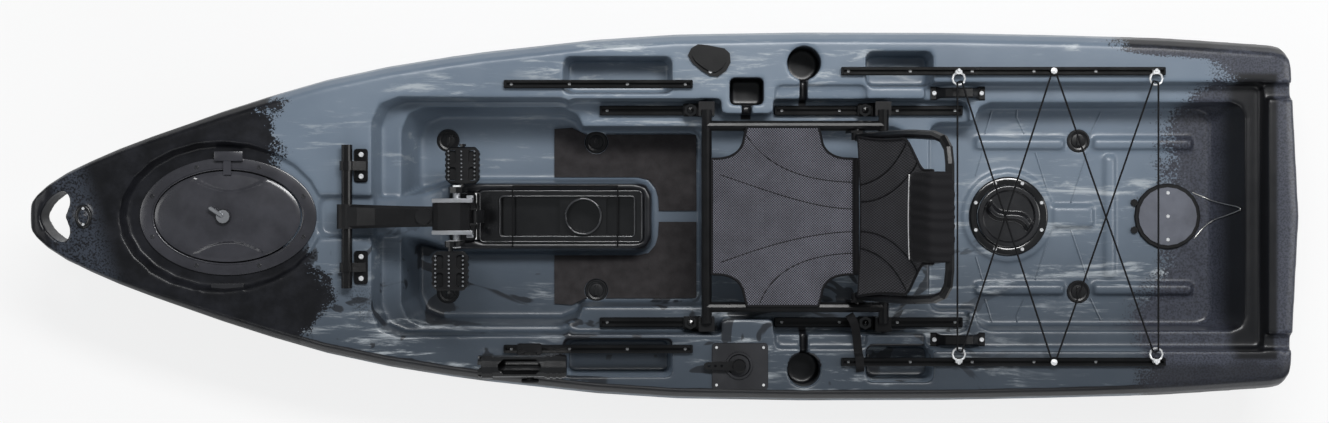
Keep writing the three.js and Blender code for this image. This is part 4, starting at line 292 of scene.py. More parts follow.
class HullLook(Look):
    """Blue-grey plastic with black ends, ragged and speckled where they meet, pale brush marks, and painted
    shade to port, on the stern's slope and in the cup holders and pockets.
    """

    def __init__(self):
        super().__init__("hull_plastic", 0.42)
        x, y, z = self.axes(self.place)
        _, facing, upward = self.axes(self.node("ShaderNodeNewGeometry").outputs["Normal"])
        out = self.math("ABSOLUTE", y)
        self.at = {"x": x, "y": y, "z": z, "out": out, "facing": facing, "upward": upward}
        self.ragged = self.noise(7.0, 6.0, 0.62, distortion=0.6)
        self.speckle = self.noise(210.0, 2.0, 0.6)
        self.jag = self.scaled(self.ragged, 0.26, -0.13)

    def edge(self, value, name):
        return self.step(value, *HULL_EDGES[name])

    def inside(self, region):
        """1 within a region and 0 outside, with its soft edges."""
        return self.times(*[self.step(self.at[axis], low, high) for axis, low, high in HULL_REGIONS[region]])

    def bow(self):
        """The bow's black, which reaches furthest aft just to port of the hatch."""
        bulge = self.hump(self.at["y"], **BOW_BULGE)
        flecks = self.scaled(self.speckle, 0.10, -0.05)
        return self.edge(self.minus(self.at["x"], bulge, self.plus(self.jag, flecks)), "bow")

    def stern(self):
        """The stern's charcoal: early to port and on the starboard gunwale, and last just inboard of that."""
        y = self.at["y"]
        early = self.plus(self.edge(y, "early_starboard"), self.edge(y, "early_port"))
        reach = self.plus(self.hump(y, **STERN_TONGUE), early)
        flecks = self.scaled(self.speckle, 0.20, -0.10)
        return self.edge(self.minus(self.at["x"], reach, self.plus(self.jag, flecks)), "stern")

    def stern_black_and_shade(self):
        """The blackest places of the stern: its rims, which are black plastic, and its slope, where the black
        is painted shade down the well's aft wall.
        """
        wavy = self.plus(self.at["y"], self.times(self.jag, 0.3))
        return self.most(self.inside("slope"), self.edge(wavy, "rim_starboard"), self.edge(wavy, "rim_port"))

    def hollows(self):
        """Painted shade inside the cup holders, the square pocket and the slots that lead into them."""
        at, soft = self.at, CUP["soft"]
        squares = [self.squared(self.minus(at[axis], CUP[axis])) for axis in ("x", "out")]
        mask = self.step(self.math("SQRT", self.plus(*squares)), CUP["radius"] + soft, CUP["radius"] - soft)
        for side, (x0, x1, y0, y1) in [("out", CUP_SLOT)] + [("y", box) for box in POCKETS]:
            mask = self.most(mask, self.times(self.between(at["x"], x0, x1), self.between(at[side], y0, y1)))
        return self.times(mask, self.inside("hollow"))

    def grey(self):
        """The blue-grey, darker to port on its upward faces by painted shade but not on the hull's side, with
        pale brush marks.
        """
        blurred = self.scaled(self.noise(3.0, 5.0, 0.6), 0.26, self.plus(self.at["y"], -0.13))
        # Painted shade darkens the upward faces towards port; the hull's side keeps the plain grey
        lighter = self.most(self.edge(blurred, "painted_port_shade"), self.inside("flank"))
        grey = self.mix(lighter, HULL_COLORS["painted_port_shade"], self.mottled(*HULL_COLORS["grey"], 2.2))
        streaks = self.noise(1.0, 7.0, 0.7, at=self.stretched((5, 34, 10), (0, 0, 0.35)), distortion=0.4)
        patches = self.noise(1.0, 4.0, 0.6, at=self.stretched((2.1, 4.3, 3.0)))
        brushed = self.times(self.step(streaks, 0.52, 0.66), self.step(patches, 0.47, 0.60), 0.8)
        return self.mix(brushed, grey, HULL_COLORS["brushed"])

    def marbled_and_shaded(self, grey):
        """Painted shade on the port-facing slope along the top of the gunwale, black in a few swirls on that
        side, and speckles.
        """
        # Painted shade: faces turned to port along the top of the gunwale are darkened
        sloped = self.scaled(self.ragged, 0.3, self.minus(-0.15, self.at["facing"]))
        port_slope_shade = self.times(self.step(sloped, 0.13, 0.22), self.inside("port_slope_shade"))
        swirl = self.noise(1.0, 3.0, at=self.stretched((3.6, 5.2, 4.0)), distortion=2.4)
        swirl = self.times(self.step(swirl, 0.585, 0.61), self.inside("swirl"), 0.85)
        freckle = self.times(self.step(self.speckle, 0.50, 0.60), self.step(self.noise(4.2), 0.52, 0.64),
                             self.inside("freckle"))
        for mask, name in ((port_slope_shade, "port_slope_shade"), (swirl, "swirl"), (freckle, "freckle")):
            grey = self.mix(mask, grey, HULL_COLORS[name])
        return grey

    def dark(self):
        """Black at the bow, with a grey patch behind the grab hole, and charcoal at the stern, with black
        rims and painted shade on the well's aft slope.
        """
        tilted = self.plus(self.at["x"], self.scaled(self.at["y"], 0.3, self.times(self.speckle, 0.05)))
        patch = self.times(self.inside("fore"), self.edge(tilted, "patch"))
        patch = self.times(patch, self.step(self.speckle, 0.38, 0.56))
        bow = self.mix(self.step(self.noise(14.0, 6.0, 0.65), 0.35, 0.75), *HULL_COLORS["bow"])
        bow = self.mix(patch, bow, HULL_COLORS["patch"])
        stern = self.mix(self.step(self.speckle, 0.36, 0.60), *HULL_COLORS["stern"])
        stern = self.mix(self.stern_black_and_shade(), stern, HULL_COLORS["stern_black_and_shade"])
        return self.mix(self.inside("aft"), bow, stern)


def hull_look():
    look = HullLook()
    bow = look.bow()
    black = look.most(bow, look.stern(), look.inside("tray_seat"))
    plastic = look.mix(black, look.marbled_and_shaded(look.grey()), look.dark())
    # Painted shade inside the cup holders, the pocket and their slots
    look.set("Base Color", look.mix(look.hollows(), plastic, HULL_COLORS["hollow"]))
    look.set("Specular IOR Level", look.scaled(bow, -0.22, 0.5))
    look.set("Roughness", look.scaled(look.noise(18.0, 4.0), 0.16, 0.24))
    look.bump(look.plus(look.noise(420.0, 2.0), look.times(look.noise(60.0), 1.6)), 0.16, 0.0008)


KNIT_CELL = 0.0062


def cloth_look(name, thread, hole):
    """Spacer mesh: rows of knitted dots over a dark ground, a little uneven."""
    look = Look(name, 0.85, specular=0.2)
    rows = [look.math("SINE", look.times(axis, 2 * pi / KNIT_CELL)) for axis in look.axes(look.place)[:2]]
    uneven = look.scaled(look.noise(480.0, 2.0), 0.7, -0.35)
    knit = look.step(look.plus(look.times(*rows), uneven), -0.45, 0.55)
    yarn = look.mottled(thread, shade(thread, 1.45), 11.0, 4.0, 0.6)
    look.set("Base Color", look.mix(knit, hole, yarn))
    look.set("Sheen Weight", 0.15)
    look.set("Sheen Roughness", 0.4)
    look.bump(knit, 0.5, 0.0012)


def foam_look():
    """Closed-cell foam sheet, brushed, with a fine nap."""
    look = Look("foam_sheet", 0.9, specular=0.2)
    nap = look.noise(1600.0, 3.0, 0.7)
    worn = look.scaled(look.noise(40.0, 4.0), 0.5, look.times(nap, 0.5))
    worn = look.step(worn, 0.3, 0.7)
    look.set("Base Color", look.mix(worn, (0.026, 0.0238, 0.0245), (0.050, 0.0460, 0.0480)))
    look.bump(nap, 0.5, 0.0008)


def webbing_look(name, color, pitch=0.0016):
    """Ribbed webbing or braid: crossing rows of small bumps."""
    look = Look(name, 0.8, specular=0.25)
    bands = {"wave_type": "BANDS", "bands_direction": "DIAGONAL"}
    waves = [look.node("ShaderNodeTexWave", bands, Vector=at, Scale=0.16 / pitch, Distortion=0.6, Detail=1.0)
             for at in (look.place, look.stretched((-1, 1, 1)))]
    weave = look.times(*[wave.outputs["Fac"] for wave in waves])
    look.set("Base Color", look.mix(weave, color, shade(color, 1.8)))
    look.bump(weave, 0.6, 0.0006)


def metal_look(name, color, roughness, along=(8, 900, 900)):
    """Brushed or anodised metal with fine lines along the piece."""
    look = Look(name, roughness, 1.0)
    lines = look.noise(1.0, at=look.stretched(along))
    look.set("Base Color", look.mottled(color, shade(color, 1.15), 22.0, 5.0, 0.6))
    look.set("Roughness", look.scaled(lines, 0.16, roughness - 0.06))
    look.bump(lines, 0.12, 0.0003)


def bright_screw():
    """Stainless heads: turned marks on a pale metal."""
    look = Look("screw_steel", 0.3, 0.2)
    marks = look.noise(700.0, 2.0)
    look.set("Base Color", look.mottled((0.66, 0.67, 0.68), (0.86, 0.87, 0.88), 90.0))
    look.set("Roughness", look.scaled(marks, 0.2, 0.2))
    look.bump(marks, 0.15, 0.0003)


hull_look()
satin("black_plastic", (0.0044, 0.0045, 0.0052), 0.36, specular=0.3)
satin("hatch_plastic", (0.034, 0.034, 0.041), 0.24, 700.0, 0.06, specular=0.7)
satin("gloss_black", (0.0030, 0.0031, 0.0036), 0.14, 300.0, 0.03, specular=0.9)
# The tray's lips: a lighter black than the other blacks, a painted highlight along the beads
satin("lip_highlight_black", (0.034, 0.035, 0.038), 0.09, 300.0, 0.02, specular=1.0)
satin("dark_metal", (0.012, 0.0122, 0.014), 0.34, metallic=0.2)
satin("hatch_dark", (0.010, 0.0102, 0.0118), 0.22, 700.0, 0.05, specular=0.8)
satin("grey_plastic", (0.100, 0.107, 0.132), 0.42)
satin("dark_grey_plastic", (0.016, 0.0165, 0.0195), 0.38)
satin("black_anodised", (0.0030, 0.0031, 0.0036), 0.24, 1500.0, 0.05, specular=0.35)
satin("black_tube_paint", (0.0035, 0.0036, 0.0042), 0.30, 500.0, 0.03, specular=0.3)
satin("drain_rubber", (0.0055, 0.0056, 0.0065), 0.30, 600.0, 0.06)
metal_look("brushed_aluminium", (0.42, 0.43, 0.45), 0.36)
bright_screw()
foam_look()
cloth_look("seat_mesh", (0.135, 0.135, 0.160), (0.010, 0.010, 0.012))
cloth_look("back_mesh", (0.040, 0.039, 0.046), (0.0045, 0.0045, 0.0055))
webbing_look("pad_cloth", (0.0052, 0.0050, 0.0062), 0.0012)
webbing_look("black_cord", (0.0045, 0.0045, 0.0052))
webbing_look("seam_thread", (0.0030, 0.0030, 0.0034), 0.0008)
webbing_look("white_trim", (0.52, 0.52, 0.52))
metal_look("pale_wire", (0.70, 0.69, 0.66), 0.35, (600, 600, 600))


# The floor, which glows for the camera alone so that it stays pale

FLOOR = Sizes(half=14, drop=0.0008, glow=0.80)


def studio_floor():
    h = FLOOR.half
    data = bpy.data.meshes.new("studio_floor")
    data.from_pydata([(-h, -h, 0), (h, -h, 0), (h, h, 0), (-h, h, 0)], [], [(0, 1, 2, 3)])
    floor = bpy.data.objects.new("studio_floor", data)
    floor.location.z = -FLOOR.drop
    scene.collection.objects.link(floor)
    look = Look("studio_floor", 0.9, specular=0.1)
    look.set("Base Color", look.mix(look.noise(1.5, 2.0), (0.86, 0.86, 0.86), (0.88, 0.88, 0.88)))
    seen = look.times(look.node("ShaderNodeLightPath").outputs["Is Camera Ray"], FLOOR.glow)
    glow = look.node("ShaderNodeEmission", Color=(1, 1, 1, 1), Strength=1.0)
    blend = look.node("ShaderNodeMixShader", None, (seen, look.shader.outputs[0], glow.outputs[0]))
    look.feed(look.tree.nodes["Material Output"].inputs["Surface"], blend.outputs[0])
    data.materials.append(look.material)
    return floor


studio_floor()


# Mesh helpers

def put(name, data, look, body="hull_body", slot="black_plastic", replaces=(), smooth=True):
    """A new piece in the row frame, riding on a body."""
    data.name = name
    piece = bpy.data.objects.new(name, data)
    scene.collection.objects.link(piece)
    if smooth:
        data.shade_smooth()
    else:
        data.shade_flat()
    data.materials.append(LOOKS[look])
    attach(piece, body)
    if replaces:
        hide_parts(*replaces)
    return piece


def mesh_of(points, faces):
    data = bpy.data.meshes.new("shape")
    data.from_pydata([tuple(p) for p in points], [], faces)
    data.validate()
    return data


def ring_faces(rows, count, looped=False):
    """Quads between rings of count points each, with both ends capped unless the rings form a loop."""
    faces = []
    for i in range(rows if looped else rows - 1):
        a, b = i * count, ((i + 1) % rows) * count
        faces += [(a + j, a + (j + 1) % count, b + (j + 1) % count, b + j) for j in range(count)]
    if not looped:
        faces.append(tuple(range(count - 1, -1, -1)))
        faces.append(tuple(range((rows - 1) * count, rows * count)))
    return faces


def remade(meshes, change=None):
    """Several meshes as one, with a change made to it."""
    shape = bmesh.new()
    for data in meshes:
        shape.from_mesh(data)
    if change:
        change(shape)
    data = bpy.data.meshes.new("shape")
    shape.to_mesh(data)
    shape.free()
    return data


def outward(shape):
    bmesh.ops.recalc_face_normals(shape, faces=shape.faces)


def ring_mesh(points, rows, count, looped=False):
    """Rings of points joined one after another, with the faces turned outward."""
    return remade([mesh_of(points, ring_faces(rows, count, looped))], outward)


def tube_mesh(path, radius, sides=16, looped=False):
    """A round tube along a path, with its rings carried along without twist."""
    path = [Vector(p) for p in path]
    count = len(path)
    points = []
    side = None
    for i, point in enumerate(path):
        before = path[(i - 1) % count] if looped or i else point
        after = path[(i + 1) % count] if looped or i < count - 1 else point
        along = (after - before).normalized()
        if side is None:
            side = along.orthogonal().normalized()
        side = (side - along * side.dot(along)).normalized()
        up = along.cross(side)
        points += [point + radius * (cos(angle) * side + sin(angle) * up) for angle in turns(sides)]
    return ring_mesh(points, count, sides, looped)


def oval_mesh(rings, centre, sides, looped=False):
    """Level ovals (half x, half y, height) round a centre, joined one after another."""
    points = [(centre[0] + half_x * cos(angle), centre[1] + half_y * sin(angle), z)
              for half_x, half_y, z in rings for angle in turns(sides)]
    return ring_mesh(points, len(rings), sides, looped)


def lathe_mesh(profile, place, sides, oval=(1.0, 1.0)):
    """A profile of (radius, height) turned about an upright axis, or stretched to an oval."""
    return oval_mesh([(r * oval[0], r * oval[1], place[2] + h) for r, h in profile], place[:2], sides)


def block(x0, x1, y0, y1, z0, z1):
    """A box. The two y may come in either order, as mirroring leaves them."""
    y0, y1 = sorted((y0, y1))
    corners = [(x, y, z) for z in (z0, z1) for x, y in ((x0, y0), (x1, y0), (x1, y1), (x0, y1))]
    faces = [(3, 2, 1, 0), (4, 5, 6, 7), (0, 1, 5, 4), (1, 2, 6, 5), (2, 3, 7, 6), (3, 0, 4, 7)]
    return mesh_of(corners, faces)


def soften(piece, width, segments=2, angle=0.6):
    """Small rounded edges."""
    bevel = piece.modifiers.new("edges", "BEVEL")
    bevel.width = width
    bevel.segments = segments
    bevel.limit_method = "ANGLE"
    bevel.angle_limit = angle
    bevel.harden_normals = False


SHARP_ANGLE = 0.62


def smooth_group():
    """Node group that shades faces smooth but keeps the edges that are sharper than an angle."""
    group = bpy.data.node_groups.new("smooth_by_angle", "GeometryNodeTree")
    for way in ("INPUT", "OUTPUT"):
        group.interface.new_socket("Geometry", in_out=way, socket_type="NodeSocketGeometry")
    enter, leave, angle, less, faces, edges = [group.nodes.new(kind) for kind in (
        "NodeGroupInput", "NodeGroupOutput", "GeometryNodeInputMeshEdgeAngle", "FunctionNodeCompare",
        "GeometryNodeSetShadeSmooth", "GeometryNodeSetShadeSmooth")]
    less.data_type = "FLOAT"
    less.operation = "LESS_EQUAL"
    less.inputs["B"].default_value = SHARP_ANGLE
    edges.domain = "EDGE"
    for source, output, target, entry in (
            (enter, 0, faces, "Geometry"), (faces, 0, edges, "Geometry"), (edges, 0, leave, 0),
            (angle, "Unsigned Angle", less, "A"), (less, "Result", edges, "Shade Smooth")):
        group.links.new(source.outputs[output], target.inputs[entry])
    return group


SMOOTH = smooth_group()


def smooth_edges(piece):
    piece.modifiers.new("smooth", "NODES").node_group = SMOOTH


def gathered(name, meshes, *where, **how):
    """Several closed shapes as one piece."""
    piece = put(name, remade(meshes), *where, **how)
    smooth_edges(piece)
    return piece


# The hull: the CAD shell without its inner skin, remeshed so that every edge is moulded round

HATCH_HOLE = Sizes(x=-1.052, half_x=0.170, half_y=0.104, low=0.300, high=0.313)
ROUND_HOLE = Sizes(x=0.845, radius=0.069, low=0.130, high=0.159)
FLUSH_HOLE = Sizes(x=0.100, y=0.378, radius=0.025, lean=0.32, low=0.280)
BIN_DEPTH = Sizes(bow=0.20, round=0.10, flush=0.02)
INSIDE = Vector((-0.95, 0.2, 0.15))
VOXEL = 0.0046
KEPT = 0.23


def in_mouth(face):
    """True for the walls of the three holes that lead into the hull."""
    if abs(face.normal.z) > 0.6:
        return False
    x, y, z = face.calc_center_median()
    hatch, lid, flush = HATCH_HOLE, ROUND_HOLE, FLUSH_HOLE
    share = ((x - hatch.x) / hatch.half_x) ** 2 + (y / hatch.half_y) ** 2
    if 0.85 < share < 1.1 and hatch.low < z < hatch.high:
        return True
    if abs(hypot(x - lid.x, y) - lid.radius) < 0.003 and lid.low < z < lid.high:
        return True
    lean = flush.x + (DECK - z) * flush.lean
    return z > flush.low and abs(hypot(x - lean, y - flush.y) - flush.radius) < 0.004


def inner_skin(shape):
    """The faces of the hull's inside, found from one above a place inside, up to the walls of the holes."""
    walls = {face for face in shape.faces if in_mouth(face)}
    first = shape.faces[BVHTree.FromBMesh(shape).ray_cast(INSIDE, UP)[2]]
    inner, queue = {first}, deque([first])
    while queue:
        for edge in queue.popleft().edges:
            for face in edge.link_faces:
                if face not in inner and face not in walls:
                    inner.add(face)
                    queue.append(face)
    return list(inner)


def bin_depth(place):
    """How deep the bin goes that closes the hole at a place."""
    if place.y > 0.2:
        return BIN_DEPTH.flush
    return BIN_DEPTH.bow if place.x < 0 else BIN_DEPTH.round


def outside_alone(shape):
    """Leaves the hull's outside as one closed surface, with a bin under each hole."""
    bmesh.ops.remove_doubles(shape, verts=shape.verts, dist=1e-6)
    shape.faces.ensure_lookup_table()
    bmesh.ops.delete(shape, geom=inner_skin(shape), context="FACES")
    rims = [edge for edge in shape.edges if edge.is_boundary]
    for item in bmesh.ops.extrude_edge_only(shape, edges=rims)["geom"]:
        if isinstance(item, bmesh.types.BMVert):
            item.co.z -= bin_depth(item.co)
    bmesh.ops.contextual_create(shape, geom=[edge for edge in shape.edges if edge.is_boundary])
    outward(shape)


def moulded_hull():
    skin = bpy.data.objects.new("hull_skin", remade([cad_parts["hull"].data], outside_alone))
    scene.collection.objects.link(skin)
    remesh = skin.modifiers.new("remesh", "REMESH")
    remesh.mode = "VOXEL"
    remesh.voxel_size = VOXEL
    relax = skin.modifiers.new("relax", "SMOOTH")
    relax.factor = 0.5
    relax.iterations = 5
    fewer = skin.modifiers.new("fewer", "DECIMATE")
    fewer.ratio = KEPT
    data = bpy.data.meshes.new_from_object(skin.evaluated_get(bpy.context.evaluated_depsgraph_get()))
    bpy.data.objects.remove(skin)
    put("moulded_hull", data, "hull_plastic", slot="hull", replaces=["hull"])


moulded_hull()


# The looks of the CAD nodes that are shown

def dress(look, *starts, edge=0.0007):
    """Gives the CAD nodes whose names start so a material, softened edges and smooth shading."""
    for name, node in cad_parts.items():
        if name.startswith(starts):
            node.data.materials.clear()
            node.data.materials.append(LOOKS[look])
            soften(node, edge)
            smooth_edges(node)


dress("black_plastic", "drive_arm", "drive_latch", "drive_leg", "propeller", "gear_housing", "pedal_",
      "clamp_", "carry_handle_", "steering_lever", "rudder_blade", "rudder_plate", "rod_holder_base",
      "rod_holder_knob", "flush_rod_holder")
dress("gloss_black", "rod_holder_cradle", "knob_")
dress("gloss_black", "well_tray", edge=0.0018)
dress("dark_grey_plastic", "steering_plate")
dress("black_anodised", "pivot_bar", "bar_clamp_", "crank_starboard", "crank_port", "rail_", "seat_rail_")
dress("black_tube_paint", "seat_frame", "back_frame")
dress("brushed_aluminium", "crank_axle", "rudder_stock", "bow_hatch_latch")
dress("dark_metal", "leg_bracket")
dress("foam_sheet", "foot_mat_", edge=0.001)

D_RING = Sizes(x=(0.699, 1.172), y=0.330, radius=0.015, half_wire=0.0036)
CORD_KNOB = Sizes(x=0.927, half=0.012)
RAIL_TOP = 0.3135
RUDDER_DISC = Sizes(x=1.240, radius=0.0725, low=0.1575)
LATCH_DISC = Sizes(x=-1.059, radius=0.019, high=0.3435)
HOUSING_LOW = 0.34
CRANK_BOSS = Sizes(inner=0.057, low=0.070, high=0.081)
CLAMP_SCREWS = Sizes(x=-0.731, y=(0.096, 0.148))
# Screw heads of CAD nodes: their places, a radius round them, and the height that they stand on
SCREWED = {
    "rudder_plate": ([(RUDDER_DISC.x, y) for y in (-0.058, 0, 0.058)], 0.006, 0.160),
    "steering_plate": ([(x, y) for x in (0.119, 0.232) for y in (-0.405, -0.315)], 0.005, 0.3045),
    "flush_rod_holder": ([(0.128, 0.392), (0.104, 0.348)], 0.006, 0.306),
}
for side, way in SIDES:
    SCREWED[f"bar_clamp_{side}"] = ([(CLAMP_SCREWS.x, way * y) for y in CLAMP_SCREWS.y], 0.008, 0.3275)
    SCREWED[f"carry_handle_{side}"] = ([(x, way * 0.299) for x in (0.648, 0.764)], 0.0065, 0.2552)
SCREW_FOOT = 0.0004


def tint(name, look, test):
    """A second material for the faces of a node whose centre and normal pass the test."""
    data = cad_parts[name].data
    data.materials.append(LOOKS[look])
    for face in data.polygons:
        if test(face.center, face.normal):
            face.material_index = len(data.materials) - 1


def in_disc(place, disc):
    return hypot(place.x - disc.x, place.y) < disc.radius


def heads(spots, radius, low):
    """A test for the faces of screw heads round the spots, above a height."""
    return lambda c, n: c.z > low + SCREW_FOOT and any(hypot(c.x - x, c.y - y) < radius for x, y in spots)


def rail_fitting(c, n):
    """True for the faces of the D-rings and of the cord's knob on an aft rail."""
    on_knob = abs(c.x - CORD_KNOB.x) < CORD_KNOB.half
    from_wire = [abs(hypot(c.x - x, abs(c.y) - D_RING.y) - D_RING.radius) for x in D_RING.x]
    return c.z > RAIL_TOP and (on_knob or min(from_wire) < D_RING.half_wire)


def crank_boss(c, n):
    return CRANK_BOSS.low < abs(c.y) < CRANK_BOSS.high or abs(c.y) < CRANK_BOSS.inner


tint("rudder_plate", "grey_plastic", lambda c, n: c.z > RUDDER_DISC.low and in_disc(c, RUDDER_DISC))
for name, spots in SCREWED.items():
    tint(name, "screw_steel", heads(*spots))
for side, _ in SIDES:
    tint(f"rail_aft_{side}", "screw_steel", rail_fitting)
    tint(f"crank_{side}", "screw_steel", crank_boss)
tint("gear_housing", "brushed_aluminium", lambda c, n: c.z > HOUSING_LOW and abs(n.y) > 0.6)
tint("bow_hatch_latch", "dark_grey_plastic", lambda c, n: c.z < LATCH_DISC.high and in_disc(c, LATCH_DISC))


# The seat's cloths, with the seat level and the back worked out upright and then leaned

SEAT = Sizes(
    front=0.107, rear=0.446, half=0.214, z=0.3306, thick=0.0036, sag=0.020, cut_x=0.080, cut_y=0.076,
    power=2.7)
BACK = Sizes(
    hinge=Vector((0.452, 0.0, 0.345)), lean=0.36, half=0.188, shoulder=0.176, tube=0.0105, low=0.034,
    high=0.404, thick=0.0034, bow=0.026, waist=0.04, gap=0.0003, cut=0.42, cut_from=0.62, cut_to=0.90)
SEAM = Sizes(width=0.0042, depth=0.0016, radius=0.0011, sunk=0.0010)
BINDING = Sizes(radius=0.0032, steps=64)
SKIN_SHARE = 0.8


def grid_sheet(across, along, place, thick, normal):
    """A sheet of two skins over a grid, joined round its rim."""
    top = [place(i / along, 2 * j / across - 1) for i in range(along + 1) for j in range(across + 1)]
    under = [p - normal * thick for p in top]
    stride = across + 1
    offset = len(top)
    faces = []
    for i in range(along):
        for j in range(across):
            a = i * stride + j
            faces.append((a, a + 1, a + stride + 1, a + stride))
            faces.append((offset + a + stride, offset + a + stride + 1, offset + a + 1, offset + a))
    rim = list(range(stride))
    rim += [i * stride + across for i in range(1, along + 1)]
    rim += [along * stride + j for j in range(across - 1, -1, -1)]
    rim += [i * stride for i in range(along - 1, 0, -1)]
    for here, there in zip(rim, rim[1:] + rim[:1]):
        faces.append((here, offset + here, offset + there, there))
    return remade([mesh_of(top + under, faces)], outward)


def bezier(points, share):
    """A point at share 0 to 1 of a curve that the control points draw."""
    work = [Vector(p) for p in points]
    while len(work) > 1:
        work = [a.lerp(b, share) for a, b in zip(work, work[1:])]
    return work[0]


def sampled(curves, steps=40):
    return [[bezier(curve, i / steps) for i in range(steps + 1)] for curve in curves]


# Seams in metres: on the seat along from its front edge and to starboard, on the back up and to starboard
SEAT_SEAMS = sampled([
    [(0.02, 0.100), (0.14, 0.060), (0.24, 0.020), (0.339, 0.018)],
    [(0.02, -0.110), (0.12, -0.075), (0.22, -0.040), (0.339, -0.036)],
    [(0.075, 0.206), (0.12, 0.130), (0.20, 0.085), (0.339, 0.082)],
    [(0.115, -0.206), (0.15, -0.120), (0.24, -0.090), (0.339, -0.088)],
])
BACK_SEAMS = sampled([[(u, way * v) for u, v in curve] for curve in (
    [(0.0, 0.035), (0.12, 0.035), (0.20, 0.09), (0.29, 0.120)],
    [(0.0, 0.075), (0.10, 0.085), (0.18, 0.130), (0.24, 0.165)]) for way in WAYS])


def seam_depth(u, v, seams):
    """How far a stitched seam pulls the cloth down at a place of the sheet."""
    nearest = min(hypot(u - p.x, v - p.y) for seam in seams for p in seam)
    return SEAM.depth * exp(-((nearest / SEAM.width) ** 2))


def seat_half(share):
    """Half width of the seat's cloth, with a quarter round cut from each corner."""
    length = SEAT.rear - SEAT.front
    near = min(share * length, (1 - share) * length, SEAT.cut_x) / SEAT.cut_x
    return SEAT.half - SEAT.cut_y * max(1 - near ** SEAT.power, 0) ** (1 / SEAT.power)


def seat_plain(share, side):
    """A place on the seat's cloth without its seams: side is -1 at the port edge and 1 at the other."""
    y = seat_half(share) * side
    dip = SEAT.sag * (0.35 + 0.65 * sin(share * pi))
    z = SEAT.z + SEAT.thick - dip * (1 - (y / SEAT.half) ** 2)
    return Vector((lerp(SEAT.front, SEAT.rear, share), y, z))


def seat_place(share, side):
    point = seat_plain(share, side)
    point.z -= seam_depth(point.x - SEAT.front, point.y, SEAT_SEAMS)
    return point


def leaned(point):
    """A place on the upright back, turned to where the back leans."""
    x, y, z = point
    c, s = cos(BACK.lean), sin(BACK.lean)
    return BACK.hinge + Vector((x * c + z * s, y, z * c - x * s))


def back_half(share):
    """Half width of the back's cloth, with a waist and narrow shoulders."""
    waist = 1 - BACK.waist * sin(min(share / 0.8, 1) * pi)
    narrow = 1 - BACK.cut * eased((share - BACK.cut_from) / (BACK.cut_to - BACK.cut_from))
    return lerp(BACK.half, BACK.shoulder, share) * waist * narrow


def back_upright(share, side, proud=0.0):
    """A place on the upright back's cloth without its seams, or in front of it."""
    deep = BACK.bow * (1 - side * side) * (0.3 + 0.7 * sin(share * pi))
    x = deep - BACK.tube - BACK.gap - BACK.thick - proud
    return Vector((x, back_half(share) * side, lerp(BACK.low, BACK.high, share)))


def back_plain(share, side):
    return leaned(back_upright(share, side))


def back_place(share, side):
    point = back_upright(share, side)
    point.x += seam_depth(point.z - BACK.low, point.y, BACK_SEAMS)
    return leaned(point)


def on_seat(along, y):
    """Where a thread lies on the seat's cloth."""
    share = along / (SEAT.rear - SEAT.front)
    return seat_plain(share, y / seat_half(share)) - UP * SEAM.sunk


def on_back(height, y):
    """Where a thread lies on the back's cloth."""
    share = height / (BACK.high - BACK.low)
    return leaned(back_upright(share, y / back_half(share), SEAM.radius - SEAM.sunk))


def rim_path(place, steps):
    """Points round the rim of a sheet."""
    shares = [i / steps for i in range(steps)]
    path = [place(share, -1) for share in shares]
    path += [place(1, 2 * share - 1) for share in shares]
    path += [place(1 - share, 1) for share in shares]
    path += [place(0, 1 - 2 * share) for share in shares]
    return path


def sewn(part, sheet, rim, seams, stitched):
    """A cloth on its body, the binding round its rim and the stitching of its seams."""
    body = f"{part}_body"
    cloth = put(f"{part}_cloth", sheet, f"{part}_mesh", body, "mesh_cloth", [f"{part}_sling"])
    edging = tube_mesh(rim_path(rim, BINDING.steps), BINDING.radius, 10, True)
    binding = put(f"{part}_binding", edging, "pad_cloth", body, "mesh_cloth")
    lines = [tube_mesh([stitched(*p) for p in seam], SEAM.radius, 6) for seam in seams]
    threads = put(f"{part}_threads", remade(lines), "seam_thread", body, "mesh_cloth")
    return cloth, binding, threads


seat_cloth, seat_binding, seat_threads = sewn(
    "seat", grid_sheet(110, 90, seat_place, SEAT.thick * SKIN_SHARE, UP),
    lambda u, v: seat_plain(u, v) - UP * SEAT.thick * SKIN_SHARE / 2, SEAT_SEAMS, on_seat)
back_forward = leaned((-1, 0, 0)) - leaned((0, 0, 0))
back_cloth, back_binding, back_threads = sewn(
    "back", grid_sheet(100, 100, back_place, BACK.thick * SKIN_SHARE, back_forward),
    lambda u, v: leaned(back_upright(u, v, -BACK.thick * SKIN_SHARE / 2)), BACK_SEAMS, on_back)
HEM = Sizes(radius=0.0058, x=0.4535, z=0.3275, half=0.140, steps=24)
hem_path = [(HEM.x, lerp(-HEM.half, HEM.half, i / HEM.steps), HEM.z) for i in range(HEM.steps + 1)]
seat_hem = put("seat_hem", tube_mesh(hem_path, HEM.radius, 12), "pad_cloth", "seat_body", "mesh_cloth")


def grid_area(place, steps=60):
    """The area of a sheet, summed over its grid."""
    total = 0.0
    for i in range(steps):
        for j in range(steps):
            a = place(i / steps, 2 * j / steps - 1)
            b = place((i + 1) / steps, 2 * j / steps - 1)
            c = place(i / steps, 2 * (j + 1) / steps - 1)
            total += (b - a).cross(c - a).length
    return total


SEAT_FLAT = (0.428, 0.345)
BACK_FLAT = (0.376, 0.372)
min(grid_area(seat_plain), SEAT_FLAT[0] * SEAT_FLAT[1])
min(grid_area(back_plain), BACK_FLAT[0] * BACK_FLAT[1])


# The head pad and the pale trim along its lower front edge

PAD = Sizes(
    low=0.348, high=0.453, half=0.099, front=-0.050, aft=0.0225, corner=0.45, rows=56, around=72,
    crease=0.0016)
TRIM = Sizes(radius=0.0013, half=0.094, x=-0.0462, z=0.3565, dip=0.0045, steps=32)


def rounded(value):
    """The sine or cosine of a round made squarer, as the pad's section is."""
    return copysign(abs(value) ** PAD.corner, value)


